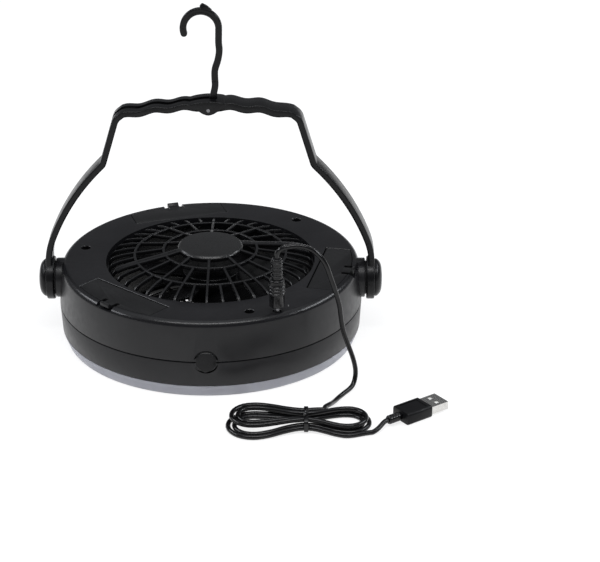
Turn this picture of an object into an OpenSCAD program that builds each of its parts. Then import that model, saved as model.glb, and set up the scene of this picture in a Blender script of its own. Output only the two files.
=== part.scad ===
// Portable camping fan with ceiling light: round body, domed intake grille, three battery
// doors, swinging carry handle with a folding hanging hook, and its power lead with a hank.
// Millimetres, +Z up, +X right, +Y to the rear. Origin: centre of the body's underside.

/* [Body] */
// Diameter of the body at its seam
body_d = 179.8; // [178:0.2:183]
// Height of the top face
face_z = 46.8; // [46:0.2:49]
// Height of the seam between the two housings
seam_z = 22.85; // [22:0.05:24]
// Height of the light lens
lens_h = 7.25; // [6.75:0.05:7.75]
// Wall thickness of both housings
wall = 2.0; // [1.8:0.1:2.2]
// How far the upper wall leans in at its top
draft_up = 1.7; // [1.4:0.1:2]
// How far the lower wall leans in at the lens
draft_low = 0.9; // [0.6:0.1:1.2]
// How far the lens leans in at its foot
lens_in = 2.65; // [2:0.05:3.2]
// Radius of the top edge
rim_fillet = 4; // [3.5:0.25:4.5]
// Width of the bevel on each side of the seam
seam_bevel = 0.45; // [0.2:0.05:0.7]
// Thickness of the lens
lens_t = 1.8; // [1.4:0.1:2]
// Thickness of the plate that carries the lights
plate_t = 1.6; // [1.2:0.1:2]

/* [Duct and grilles] */
// Width of the deck between the opening in the top face and the seam
deck_w = 28.1; // [28:0.1:28.9]
// Wall thickness of the duct
duct_wall = 1.6; // [1.4:0.1:1.8]
// Width of the ledge that carries the intake grille
ledge_w = 1.6; // [1.4:0.1:1.8]
// Depth of that ledge below the top face
ledge_drop = 6.8; // [6:0.1:7.5]
// Radius of the inner grille ring
ring1_r = 27.7; // [26:0.1:30]
// Radius of the outer grille ring
ring2_r = 44.8; // [42:0.1:47]
// Ribs between the hub and the inner ring
ribs_in = 10; // [6:1:12]
// Width of the ribs
rib_w = 1.6; // [1.2:0.1:2]
// Height of the ribs
rib_h = 2.2; // [1.8:0.1:2.6]
// Width of the two wide spokes
spoke_w = 5; // [3:0.5:6]
// Diameter of the hub cap
cap_d = 38.6; // [36:0.2:42]
// Thickness of the outlet grille
outlet_t = 2.0; // [1.6:0.1:2.4]
// Clear height below the outlet grille
outlet_z = 2.0; // [1.5:0.1:2.5]

/* [Fan] */
// Clearance at the blade tips
tip_gap = 2.0; // [1.5:0.1:3]
// Number of blades
blades = 5; // [4:1:7]
// Height of the blades
blade_h = 18; // [16:0.5:20]
// Thickness of a blade
blade_t = 1.8; // [1.4:0.1:2.2]
// Diameter of the rotor's hub
hub_d = 34; // [32.5:0.5:36]
// Diameter of the motor
motor_d = 27; // [25:0.5:28]
// Length of the motor
motor_l = 20; // [18:0.5:21]
// Diameter of the motor's shaft
shaft_d = 2.0; // [1.8:0.1:2.4]

/* [Battery bays] */
// Angle of the first door about the body
door_a0 = -11.8; // [-14:0.2:-10]
// Half width of a door
door_hw = 28.85; // [28:0.05:29.5]
// Thickness of a door
door_t = 1.8; // [1.5:0.1:2]
// Gap round a door
door_gap = 0.25; // [0.2:0.05:0.4]
// Diameter of a battery cell
cell_d = 14.5; // [14.2:0.1:14.6]
// Length of a battery cell
cell_l = 50.5; // [50:0.5:51]
// Wall thickness of a battery tray
tray_t = 1.2; // [1:0.1:1.4]
// Diameter of a door's hinge stubs
stub_d = 1.8; // [1.6:0.05:1.9]

/* [Handle] */
// Height of the handle's pivot
pivot_z = 34.3; // [33.5:0.1:35]
// Diameter of the pivot bosses
boss_d = 23.5; // [22:0.5:24.5]
// Diameter of the handle's end discs
disc_d = 25.7; // [24:0.1:27]
// Thickness of the end discs
disc_t = 4.7; // [4.2:0.1:5.5]
// Width of the handle band
band_w = 15; // [13:0.5:16]
// Thickness of the handle band
band_t = 3.7; // [3.4:0.1:3.9]
// Extra height on top of the grip's right half
grip_pad = 0.8; // [0.4:0.1:1.2]
// Height of the handle's corners
corner_z = 136.5; // [134:0.5:140]
// Half distance between the corners
corner_x = 52.8; // [51:0.1:55]
// Thickness of a friction washer
washer_t = 0.8; // [0.5:0.1:1.2]
// Diameter of a pivot stud's shoulder
stud_d = 8; // [6:0.5:9]
// Diameter of a knob cap
knob_d = 22.4; // [21:0.2:24]
// Height of a knob cap
knob_h = 4.6; // [4:0.1:6]

/* [Hook] */
// Width of the hook
hook_w = 3.3; // [2.8:0.1:3.6]
// Thickness of the hook
hook_t = 3.9; // [3.5:0.1:4.1]
// Radius of the hook's curl
curl_r = 10.1; // [9.5:0.1:10.5]
// Diameter of the hook's pin
pin_d = 2.0; // [1.6:0.1:2.4]

/* [Button and socket] */
// Diameter of the power button
button_d = 13.4; // [12:0.1:14]
// Travel of the power button
button_travel = 1.2; // [0.8:0.1:1.3]
// Diameter of the power plug's barrel
barrel_d = 3.5; // [3:0.1:3.8]
// Diameter of the power plug's body
plug_d = 9.2; // [8.5:0.1:10]

/* [Lead] */
// Diameter of the cord
cord_d = 2.8; // [2.6:0.05:2.85]
// Length of the USB plug's body
usb_l = 17.2; // [16:0.1:18]
// Width of the USB plug's body
usb_w = 14; // [13:0.1:15]
// Thickness of the USB plug's body
usb_h = 7.2; // [6.6:0.1:8]

/* [Hidden] */
$fn = 96;
e = 0.01;
black = [0.13, 0.13, 0.14];
gloss = [0.06, 0.06, 0.07];
frost = [0.60, 0.60, 0.64];
steel = [0.72, 0.72, 0.74];

// Radii and heights of the body
seam_r = body_d / 2;
top_r = seam_r - draft_up;
flat_r = top_r - rim_fillet;
fillet_z = face_z - rim_fillet;
low_r = seam_r - draft_low;
open_r = seam_r - deck_w;
duct_r = open_r - ledge_w;
duct_or = duct_r + duct_wall;
ledge_z = face_z - ledge_drop;
duct_foot = outlet_z + outlet_t;
plate_z = lens_h + plate_t;
fit = 0.05;       // running clearance on a radius
slip = 0.02;      // clearance of a seated pin or shaft on a radius

// Housing screws
screw_r = seam_r - 12.9;
screw_a = [-71.4, 48.6, 168.6];
post_r = 4.5;
screw_seat = seam_z + 5;
head_d = 5.2;
screw_d = 2.5;

// Doors and trays
door_a = [door_a0, door_a0 + 120, door_a0 - 120];
barrel_r = 1.4;
land = 0.9;
door_u = open_r + duct_wall + land;
hinge_u = door_u + barrel_r;
hinge_z = face_z - barrel_r;
door_r = flat_r - 0.3;
skirt_t = 2;
skirt_v = door_hw + door_gap;
skirt_z = face_z - 3.2;
latch_v = 3.4;
notch_v = 6;
notch_z = face_z - 5;
latch_u = flat_r + 3.6;
tray_r = top_r - wall - 0.6;
tray_u = open_r + duct_wall + 0.8;
tray_v = cell_l / 2 + 1.75;
tray_floor = skirt_z - 2 * cell_d - 1.1;
bay_w = cell_d + 2;

// Pivot stack along X
boss_x = seam_r + 1.8;
disc_x = boss_x + washer_t + 0.1;
disc_x2 = disc_x + disc_t;
cap_x = disc_x2 + 0.1;
arm_x = disc_x2 - band_t / 2;
thread_d = 5;
head_r = 6.5;
head_t = 1.4;

// Hook and clevis
pin_x = 0.6;
pin_z = 142.5;
slot_w = hook_w + 0.9;

// Button
btn_x = 0.4;
btn_z = seam_z;
btn_hole = button_d + 0.6;
btn_y = -seam_r + 0.1;
collar_y = -seam_r + 7;

// Power plug, upright in its socket
dc_x = 40.2;
dc_in = 7.525;    // from the seam in to the plug's axis
dc_y = -sqrt(pow(seam_r - dc_in, 2) - dc_x * dc_x);
lead_dy = dc_y + 71.9;    // the lead and its hank move with the socket
plug_z = face_z + 2.8;
relief_z = plug_z + 16.9;
relief_top = relief_z + 12.5;
socket_d = 6.8;

// Route of the free lead, from the plug's relief to the hank
lead_pts = [[40.2, -71.9, 79], [40.25, -71.9, 81.3], [41.6, -71.9, 83.7], [44.2, -72, 85.3],
  [48, -72, 86.1], [53, -72, 86.4], [59, -72, 84.6], [64, -72.5, 80.6], [67.5, -73, 75.5],
  [70.5, -73.5, 67], [73, -74, 59.5], [75.3, -74, 51], [76.3, -74, 43], [77.6, -74, 35],
  [80.3, -74, 26.5], [83, -74, 18.5], [84.6, -74.2, 11.5], [84.6, -75.2, 6.5],
  [83.4, -77.6, 2.9], [81.2, -81, 1.6], [78, -86, 1.5], [75, -91, 1.5], [72.8, -96, 2],
  [71, -101, 3.2], [69.2, -106, 4.8], [67, -110.4, 5.7]];

// The hank: three and three quarter loops in two layers, tied at its waist
hank_c = [56.5, -120.5 + lead_dy];
hank_t0 = -0.03;
hank_t1 = 3.687;
hank_left = 29.4;
hank_right = 23;
hank_z = cord_d / 2 + 0.1;
layer_h = 3.4;
lobe_r = 12.8;
waist_y = 0.8;
coil_step = 3.6;
tie_t = 0.85;
tie_w = 2.4;
skew_top = 2;
skew_low = -3;
// Route of the tail, from the hank to the USB plug's relief
tail_pts = [[95.15, -129.58, 1.95], [96.54, -127.93, 2.4], [97.76, -126.2, 2.9],
  [98.99, -124.35, 3.4], [100.21, -122.75, 3.6], [101.5, -121.8, 3.6]];
function moved(p) = [for (q = p) q + [0, lead_dy, 0]];

// USB plug, lying flat on the surface
usb_c = [101.5, -121.8 + lead_dy];
usb_a = 36.3;
usb_relief_l = 9;
usb_shell_l = 12;

// ---- helpers ----
function unit(v) = v / norm(v);
function rev(p) = [for (i = [len(p) - 1:-1:0]) p[i]];
function arc(c, r, a0, a1, n) =
  [for (i = [0:n]) let(a = a0 + (a1 - a0) * i / n) [c[0] + r * cos(a), c[1] + r * sin(a)]];
function blend(s) = s <= 0 ? 0 : s >= 1 ? 1 : (1 - cos(180 * s)) / 2;
// Arc of radius r that rounds the corner v between p and n
function fil(p, v, n, r, k) =
  let(a = unit(p - v), b = unit(n - v), h = acos(a * b) / 2, c = v + unit(a + b) * r / sin(h),
      s = v + a * r / tan(h) - c, f = v + b * r / tan(h) - c,
      a0 = atan2(s[1], s[0]), d0 = atan2(f[1], f[0]) - a0,
      d = d0 > 180 ? d0 - 360 : d0 < -180 ? d0 + 360 : d0) arc(c, r, a0, a0 + d, k);
// Catmull-Rom curve through points, n steps for each span
function cr(a, b, c, d, t) = 0.5 * (2 * b + (c - a) * t + (2 * a - 5 * b + 4 * c - d) * t * t
  + (3 * b - a - 3 * c + d) * t * t * t);
function spline(p, n) = concat([for (i = [0:len(p) - 2], k = [0:n - 1])
  cr(p[max(0, i - 1)], p[i], p[i + 1], p[min(len(p) - 1, i + 2)], k / n)], [p[len(p) - 1]]);
// A line set off to its left by d, and the strip between two such lines
function offs(p, d) = [for (i = [0:len(p) - 1])
  let(t = unit(p[min(i + 1, len(p) - 1)] - p[max(i - 1, 0)])) p[i] + d * [-t[1], t[0]]];
function strip(p, a, b) = concat(offs(p, a), rev(offs(p, b)));
// Tube swept along 3-D points: ring directions are carried along without twist
function tang(p, i) = unit(p[min(i + 1, len(p) - 1)] - p[max(i - 1, 0)]);
function carry(p, i, u, acc) = i >= len(p) ? acc :
  let(t = tang(p, i), w = unit(u - (u * t) * t)) carry(p, i + 1, w, concat(acc, [w]));
module tube(p, r, n, up) {
  us = carry(p, 0, up, []);
  pts = [for (i = [0:len(p) - 1], k = [0:n - 1])
    let(t = tang(p, i), u = us[i], v = cross(t, u), a = 360 * (k + 0.5) / n)
    p[i] + r * (cos(a) * u + sin(a) * v)];
  m = len(p);
  sides = [for (i = [0:m - 2], k = [0:n - 1]) let(a = i * n + k, b = i * n + (k + 1) % n)
    each [[a, a + n, b], [b, a + n, b + n]]];
  caps = [for (k = [1:n - 2]) each [[0, k, k + 1], [(m - 1) * n, (m - 1) * n + k + 1,
    (m - 1) * n + k]]];
  polyhedron(pts, concat(sides, caps));
}
module along_x(x) translate([x, 0, pivot_z]) rotate([0, 90, 0]) children();
module sides(s) mirror([s < 0 ? 1 : 0, 0, 0]) children();
module at_door(k) rotate([0, 0, door_a[k]]) children();
// Upright prism from an outline in the X-Z plane, centred on Y
module flat_xz(w) rotate([90, 0, 0]) linear_extrude(w, center = true) children();
// Rounded rectangle made of squares and circles
module rrect(w, h, r) {
  square([w - 2 * r, h], center = true);
  square([w, h - 2 * r], center = true);
  for (x = [-1, 1], y = [-1, 1]) translate([x * (w / 2 - r), y * (h / 2 - r)]) circle(r);
}

// ---- housings ----
module posts_at() for (a = screw_a) rotate([0, 0, a]) translate([screw_r, 0, 0]) children();
module button_cut() translate([btn_x, 0, btn_z]) rotate([90, 45, 0])
  translate([0, 0, -collar_y - 1]) cylinder(d = btn_hole, h = 30);
module collar() translate([btn_x, 0, btn_z]) rotate([90, 45, 0])
  translate([0, 0, -collar_y]) cylinder(d = btn_hole + 3.2, h = 7 - wall + 0.9);
module upper_housing() color(black) {
  shell = concat([[open_r, face_z]], arc([flat_r, fillet_z], rim_fillet, 90, 0, 9),
    [[seam_r, seam_z + seam_bevel], [seam_r - seam_bevel, seam_z], [seam_r - wall, seam_z],
     [top_r - wall, fillet_z]], arc([flat_r, fillet_z], rim_fillet - wall, 10, 90, 5),
    [[open_r + duct_wall, face_z - wall], [open_r + duct_wall, ledge_z - duct_wall],
     [duct_or, ledge_z - duct_wall], [duct_or, seam_z], [duct_r, seam_z], [duct_r, ledge_z],
     [open_r, ledge_z]]);
  difference() {
    union() {
      rotate_extrude() polygon(shell);
      difference() {
        for (s = [1, -1]) sides(s) along_x(seam_r - 8) cylinder(d = boss_d, h = boss_x - seam_r + 8);
        cylinder(r = top_r - wall - 0.2, h = face_z - wall);
        translate([-body_d, -body_d, -e]) cube([2 * body_d, 2 * body_d, seam_z + e]);
      }
      posts_at() translate([0, 0, seam_z]) cylinder(r = post_r, h = face_z - seam_z - wall / 2);
      for (k = [0:2]) at_door(k) intersection() {
        for (s = [1, -1]) translate([door_u - 2, s * (skirt_v + skirt_t / 2) - skirt_t / 2, skirt_z])
          cube([40, skirt_t, face_z - skirt_z - wall / 2]);
        cylinder(r = tray_r, h = face_z);
      }
      difference() {
        collar();
        translate([-50, -150, 0]) cube([100, 150, seam_z]);
      }
    }
    button_cut();
    for (s = [1, -1]) sides(s) along_x(seam_r - 6) cylinder(d = thread_d + 2 * slip, h = 20);
    posts_at() {
      translate([0, 0, screw_seat]) cylinder(d = head_d + 0.4, h = face_z);
      translate([0, 0, seam_z - e]) cylinder(d = screw_d + 0.3, h = 20);
    }
    translate([dc_x, dc_y, face_z - wall - 12]) cylinder(d = socket_d + 0.04, h = 12);
    translate([dc_x, dc_y, face_z - 10]) cylinder(d = barrel_d + 1.7, h = 20);
    for (k = [0:2]) at_door(k) {
      intersection() {
        translate([door_u - door_gap, -skirt_v, skirt_z - 2]) cube([60, 2 * skirt_v, 20]);
        cylinder(r = flat_r - 0.05, h = 2 * face_z);
      }
      translate([flat_r - 3, -notch_v, notch_z]) cube([20, 2 * notch_v, 20]);
      translate([hinge_u, 0, hinge_z]) rotate([90, 0, 0])
        cylinder(d = stub_d + 4 * fit, h = 2 * (skirt_v + skirt_t), center = true);
    }
  }
}
module lower_housing() color(black) {
  shell = [[seam_r - seam_bevel, seam_z], [seam_r, seam_z - seam_bevel], [low_r, lens_h],
    [duct_or, lens_h], [duct_or, duct_foot], [duct_r, duct_foot], [duct_r, seam_z],
    [duct_or, seam_z], [duct_or, plate_z], [low_r - wall, plate_z], [seam_r - wall, seam_z]];
  difference() {
    union() {
      rotate_extrude() polygon(shell);
      posts_at() translate([0, 0, plate_z - e]) cylinder(r = post_r, h = seam_z - plate_z + e);
      intersection() {
        collar();
        translate([-50, -150, 0]) cube([100, 150, seam_z]);
      }
    }
    button_cut();
    posts_at() translate([0, 0, plate_z + 1]) cylinder(d = screw_d + 2 * slip, h = 40);
  }
}
lens_ir = duct_or + 0.7;
module light_lens() color(frost) rotate_extrude() polygon([[lens_ir, 0], [low_r - lens_in, 0],
  [low_r, lens_h], [low_r - lens_t, lens_h], [low_r - lens_in - lens_t + 0.35, lens_t],
  [lens_ir + 1.5, lens_t], [lens_ir + 1.5, lens_h], [lens_ir, lens_h]]);
board_in = lens_ir + 3;
board_out = low_r - 4.5;
module led_board() color("ivory") translate([0, 0, lens_h - 1.6]) difference() {
  cylinder(r = board_out, h = 1.6);
  translate([0, 0, -e]) cylinder(r = board_in, h = 2);
}
led_r = (board_in + board_out) / 2;
module leds() color("lightyellow") for (i = [0:17]) rotate([0, 0, 20 * i])
  translate([led_r - 2.5, -2.5, lens_h - 2.6]) cube([5, 5, 1]);
module housing_screws() color(steel) posts_at() {
  translate([0, 0, screw_seat]) difference() {
    cylinder(d = head_d, h = 2.2);
    for (a = [0, 90]) rotate([0, 0, a]) translate([-1.6, -0.35, 1.2]) cube([3.2, 0.7, 2]);
  }
  translate([0, 0, seam_z - 9]) cylinder(d = screw_d, h = screw_seat - seam_z + 9 + e);
}

// ---- grilles ----
// Top line of the dome, as heights above the face
dome = [[17, 8.3], [19.3, 8.2], [27.7, 6.4], [44.8, 3.85], [52, 2.6], [58.3, 0.6]];
function dome_z(r) = face_z + lookup(r * 61.8 / open_r, dome);
function rib_line(r0, r1, n) = [for (i = [0:n]) let(r = r0 + (r1 - r0) * i / n) [r, dome_z(r)]];
shoulder_r = open_r - 3.5;
rim_or = open_r - 0.2;
rim_ir = duct_r - 0.9;
function rib_face(r0, r1, n) = let(p = rib_line(r0, r1, n))
  concat(p, rev([for (q = p) q - [0, rib_h]]));
function edge_face(r0) = let(p = rib_line(r0, shoulder_r, 3)) concat(p,
  [[rim_or - 1, ledge_z + 3.6], [rim_or - 0.7, ledge_z + 0.4], [rim_ir + 0.1, ledge_z + 0.4],
   [rim_ir - 0.4, ledge_z + 3.6], [shoulder_r - 1.4, dome_z(shoulder_r) - rib_h + 0.4]],
  rev([for (i = [0:2]) p[i] - [0, rib_h]]));
module ribs(count, w, a0) for (i = [0:count - 1]) rotate([0, 0, a0 + 360 * i / count])
  rotate([90, 0, 0]) linear_extrude(w, center = true) children();
module ring(r, w) rotate_extrude() translate([r - w / 2, dome_z(r) - rib_h - 0.1])
  square([w, rib_h]);
module intake_grille() color(black) difference() {
  union() {
    ribs(ribs_in, rib_w + 0.3, 270) polygon(rib_face(cap_d / 2 - 2.5, ring1_r, 3));
    ribs(2 * ribs_in, rib_w, 270) polygon(rib_face(ring1_r, ring2_r, 3));
    ribs(4 * ribs_in, rib_w - 0.1, 270) polygon(edge_face(ring2_r));
    ribs(2, spoke_w, 18) polygon(concat(rib_line(cap_d / 2 - 2.5, shoulder_r - 1, 6),
      rev([for (q = rib_line(cap_d / 2 - 2.5, shoulder_r - 1, 6)) q - [0, rib_h]])));
    ring(ring1_r, rib_w);
    ring(ring2_r, rib_w);
    rotate_extrude() translate([rim_ir, ledge_z]) square([rim_or - rim_ir, 2.6]);
    translate([0, 0, cap_z - 2]) cylinder(d = cap_d, h = 2);
  }
  translate([0, 0, cap_z]) cylinder(d = cap_d + 2 * fit, h = 5);
}
cap_z = face_z + 7.6;
module grille_cap() color(black) rotate_extrude() polygon([[0, cap_z], [cap_d / 2, cap_z],
  [cap_d / 2, cap_z + 0.6], [cap_d / 2 - 1.7, cap_z + 1.6], [0, cap_z + 1.6]]);
motor_seat = 20;
module outlet_grille() color(black) translate([0, 0, outlet_z]) {
  difference() {
    cylinder(r = duct_or + 0.5, h = outlet_t);
    translate([0, 0, -e]) cylinder(r = duct_r - 1.6, h = 5);
  }
  cylinder(r = motor_seat, h = outlet_t);
  for (r = [motor_seat + 7:7:duct_r - 5]) difference() {
    cylinder(r = r + 0.8, h = outlet_t);
    translate([0, 0, -e]) cylinder(r = r - 0.8, h = 5);
  }
  for (i = [0:11]) rotate([0, 0, 30 * i]) translate([motor_seat - 1, -0.9, 0])
    cube([duct_r - motor_seat, 1.8, outlet_t]);
}

// ---- motor and rotor ----
can_z = duct_foot + 1.6;
can_top = can_z + motor_l;
bush_h = 2.4;
rotor_z1 = ledge_z;
rotor_z0 = rotor_z1 - blade_h;
tip_r = duct_r - tip_gap;
module motor_bracket() color(black) translate([0, 0, duct_foot]) difference() {
  cylinder(r = motor_d / 2 + 2, h = 12);
  translate([0, 0, 1.6]) cylinder(r = motor_d / 2 + fit, h = 12);
}
module motor_can() color(steel) translate([0, 0, can_z]) difference() {
  cylinder(d = motor_d, h = motor_l);
  translate([0, 0, 1.4]) cylinder(d = shaft_d + 1, h = motor_l);
}
module motor_bush() color("goldenrod") translate([0, 0, can_top]) difference() {
  cylinder(r = shaft_d / 2 + 2, h = bush_h);
  translate([0, 0, -e]) cylinder(r = shaft_d / 2 + fit, h = 5);
}
module motor_shaft() color(steel) translate([0, 0, can_z + 1.7])
  cylinder(d = shaft_d, h = rotor_z1 - 2 - can_z - 1.7);
// One blade: a cambered sheet drawn along the radius, cut to its outline from above
blade_mid = (rotor_z0 + rotor_z1) / 2;
function sheet_z(y) = blade_mid - 0.8 + 0.41 * (y - 2) * blade_h / 18 + 1.6 * (1 - y * y / 400);
function out(f) = hub_d / 2 + f * (tip_r - hub_d / 2);    // from the hub, 0, out to the tip, 1
module blade() intersection() {
  rotate([90, 0, 90]) linear_extrude(tip_r + 5) polygon(concat(
    [for (y = [-22:4:26]) [y, sheet_z(y) + blade_t / 2]],
    [for (y = [26:-4:-22]) [y, sheet_z(y) - blade_t / 2]]));
  linear_extrude(100) polygon([[hub_d / 2 - 1.6, -9], [hub_d / 2 - 1.6, 8], [out(0.12), 14],
    [out(0.32), 20], [out(0.51), 23.5], [out(0.76), 24], [out(0.93), 21], [tip_r + 2, 15],
    [tip_r + 2, -17], [out(0.85), -19], [out(0.61), -18], [out(0.32), -14]]);
  translate([0, 0, rotor_z0]) difference() {
    cylinder(r = tip_r, h = blade_h);
    translate([0, 0, -e]) cylinder(r = hub_d / 2 - 0.9, h = 50);
  }
}
module fan_rotor() color(gloss) {
  difference() {
    union() {
      translate([0, 0, rotor_z1 - 16]) cylinder(d = hub_d, h = 16);
    }
    translate([0, 0, rotor_z1 - 17]) cylinder(r = hub_d / 2 - 1.8, h = 15);
    translate([0, 0, rotor_z0]) cylinder(r = shaft_d / 2 + slip, h = 16);
  }
  difference() {
    translate([0, 0, can_top + bush_h + 0.8]) cylinder(r = shaft_d / 2 + 3, h = rotor_z1 - 1.9 - can_top - bush_h - 0.8);
    translate([0, 0, rotor_z0]) cylinder(r = shaft_d / 2 + slip, h = 16);
  }
  for (i = [0:blades - 1]) rotate([0, 0, 360 * i / blades]) blade();
}

// ---- battery bays ----
module tray(k) color(black) at_door(k) difference() {
  union() {
    intersection() {
      translate([tray_u, -tray_v - tray_t, tray_floor - tray_t])
        cube([60, 2 * (tray_v + tray_t), skirt_z - tray_floor + tray_t]);
      cylinder(r = tray_r, h = face_z);
    }
    intersection() {
      translate([tray_u, -skirt_v - skirt_t, skirt_z - tray_t])
        cube([60, 2 * (skirt_v + skirt_t), tray_t]);
      cylinder(r = tray_r, h = face_z);
    }
  }
  intersection() {
    translate([tray_u + tray_t, -tray_v, tray_floor]) cube([bay_w, 2 * tray_v, 60]);
    cylinder(r = tray_r - tray_t, h = 100);
  }
}
module tray_right() tray(0);
module tray_rear() tray(1);
module tray_front() tray(2);
bay_u = tray_u + tray_t + bay_w / 2 - 0.6;
plate = 0.5;
module contact_plates() color(steel) for (k = [0:2], i = [0:1], s = [1, -1]) at_door(k)
  translate([bay_u - 5, s * (tray_v - plate / 2) - plate / 2, tray_floor + 2.2 + i * cell_d])
    cube([10, plate, 10]);
module contact_springs() color(steel) for (k = [0:2], i = [0:1]) at_door(k)
  translate([bay_u, (i * 2 - 1) * (tray_v - plate), tray_floor + 7.2 + i * cell_d])
    rotate([(i * 2 - 1) * 90, 0, 0]) cylinder(r1 = 3.4, r2 = 2.2, h = 1.2);
module door(k) color(black) at_door(k) {
  tongue = [[flat_r - 4.6, face_z - door_t], [latch_u - 1.4, face_z - door_t],
    [latch_u - 1.4, notch_z + 0.8], [latch_u, notch_z + 0.8], [latch_u, face_z + 0.6],
    [latch_u - 0.4, face_z + 1.2], [latch_u - 1.2, face_z + 1.5], [latch_u - 2.3, face_z + 1.2],
    [latch_u - 3.2, face_z], [flat_r - 4.6, face_z]];
  difference() {
    intersection() {
      translate([hinge_u, -door_hw, face_z - door_t]) cube([60, 2 * door_hw, door_t]);
      cylinder(r = door_r, h = 2 * face_z);
    }
    for (s = [1, -1]) translate([flat_r - 4.2, s * (latch_v + notch_v) / 2 - (notch_v - latch_v) / 2,
      face_z - 10]) cube([20, notch_v - latch_v, 20]);
  }
  rotate([90, 0, 0]) linear_extrude(2 * latch_v, center = true) polygon(tongue);
  translate([hinge_u, 0, hinge_z]) rotate([90, 0, 0]) {
    cylinder(r = barrel_r, h = 2 * door_hw, center = true);
    cylinder(d = stub_d, h = 2 * (skirt_v + 1.5), center = true);
  }
}
module door_right() door(0);
module door_rear() door(1);
module door_front() door(2);

// ---- button and board ----
flange_y = collar_y + 0.2;
board_y = flange_y + 1 + button_travel + 3.6;
module power_button() color(black) translate([btn_x, 0, btn_z]) {
  rotate([90, 0, 0]) translate([0, 0, -collar_y - e])
    cylinder(d = button_d, h = collar_y - btn_y - 0.9 + e);
  rotate([90, 22.5, 0]) translate([0, 0, -btn_y - 0.95]) linear_extrude(0.95)
    circle(d = button_d - 2, $fn = 8);
  rotate([90, 0, 0]) translate([0, 0, -flange_y - 1]) cylinder(d = btn_hole + 2, h = 1);
  rotate([90, 0, 0]) translate([0, 0, -flange_y - e]) cylinder(d = button_d - 4, h = 0.3);
}
module power_switch() color("dimgray") translate([btn_x, board_y, btn_z]) {
  translate([-3, -2.6, -3]) cube([6, 2.6, 6]);
  rotate([90, 0, 0]) translate([0, 0, 2.6 - e]) cylinder(r = 1.6, h = 0.7);
}
module control_board() color("darkgreen") translate([btn_x - 15, board_y, plate_z])
  cube([30, 1.6, seam_z - plate_z + 10]);

// ---- power socket and plug ----
module dc_socket() color("dimgray") {
  translate([dc_x, dc_y, face_z - wall - 12]) difference() {
    cylinder(d = socket_d, h = 12);
    translate([0, 0, 2]) cylinder(d = barrel_d + 0.2, h = 12);
  }
  translate([dc_x, dc_y, face_z - wall - 11]) cylinder(r = 0.55, h = 9);
}
module dc_barrel() color(steel) translate([dc_x, dc_y, plug_z - 12]) difference() {
  cylinder(d = barrel_d, h = 12);
  translate([0, 0, -e]) cylinder(r = 0.7, h = 10.5);
}
// Profile of a body with rounded raised rings at the heights in at[]
module ringed(r, h, at, rise, shoulder) rotate_extrude() {
  polygon([[0, 0], [r - 0.4, 0], [r, 0.4], [r, h - shoulder], [r - shoulder * 0.35, h - shoulder * 0.3],
    [r - shoulder, h], [0, h]]);
  for (z = at) polygon([[0, z - 0.7], [r, z - 0.7], [r + rise, z - 0.3], [r + rise, z + 0.3],
    [r, z + 0.7], [0, z + 0.7]]);
}
module dc_plug() color(black) translate([dc_x, dc_y, plug_z])
  ringed(plug_d / 2 - 0.3, relief_z - plug_z, [8.3, 10.4, 12.4], 0.3, 1.1);
relief_d = 6.9;
module dc_relief() color(black) translate([dc_x, dc_y, relief_z])
  ringed(relief_d / 2 - 0.55, relief_top - relief_z, [1.9, 4.6, 6.8, 9.8], 0.55, 0.8);

// ---- cord ----
function turn(t) = t < 1.5 ? t : 3 - t;
function lobe(t) = lobe_r - coil_step * turn(t);
function waist(t) = waist_y + coil_step * (1.5 - turn(t));
function run(t, h) = waist(t) + (lobe(t) - waist(t)) * blend(h / 0.29);
// Place in one half loop, h from 0 to 1, out to length a: along the run, round the end, back
function half_loop(t, h, a) = h < 0.29 ? [a * h / 0.29, run(t, h)] :
  h > 0.71 ? [a * (1 - h) / 0.29, -run(t, 1 - h)] :
  let(f = 180 * (h - 0.29) / 0.42) [a + lobe(t) * sin(f), lobe(t) * cos(f)];
function hank_xy(t) = let(k = floor(t), f = t - k)
  f < 0.5 ? let(q = half_loop(t, 2 * f, hank_left), s = t < 1.5 ? skew_top : skew_low)
    [-q[0], q[1] + s * blend(q[0] / hank_left)] :
  let(q = half_loop(t, 2 * f - 1, hank_right)) [q[0], -q[1]];
function hank_p(t) = let(q = hank_xy(t), a = q[0] < 0 ? hank_left : hank_right)
  [hank_c[0] + q[0], hank_c[1] + q[1],
   hank_z + layer_h * (1 - blend((t - 1.36) / 0.28)) + tie_t * (1 - blend(abs(q[0]) / a))];
hank_n = 90;
hank_mid = [for (i = [0:hank_n]) hank_p(hank_t0 + (hank_t1 - hank_t0) * i / hank_n)];
hank_in = hank_mid[0] - cord_d * unit(hank_mid[1] - hank_mid[0]);
hank_out = hank_mid[hank_n] + cord_d * unit(hank_mid[hank_n] - hank_mid[hank_n - 1]);
hank_pts = concat([hank_in], hank_mid, [hank_out]);
hank_gap = min([for (i = [0:hank_n - 8], j = [i + 8:hank_n]) norm(hank_mid[i] - hank_mid[j])])
  - cord_d;
echo(least_gap_between_the_hank_turns = hank_gap);
lead_all = concat(moved(lead_pts), [hank_in - 3 * unit(hank_mid[0] - hank_in), hank_in]);
module cord_lead() color(black) tube(spline(lead_all, 2), cord_d / 2, 8, [0, 1, 0]);
module cord_hank() color(black) tube(hank_pts, cord_d / 2, 6, [0, 0, 1]);
// The tail leaves in line with the hank's last run, so the two meet face to face
tail_in = hank_out + 2 * unit(hank_out - hank_mid[hank_n]);
module cord_tail() color(black) tube(concat([hank_out, tail_in], moved(tail_pts)), cord_d / 2, 8,
  [0, 0, 1]);
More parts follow.
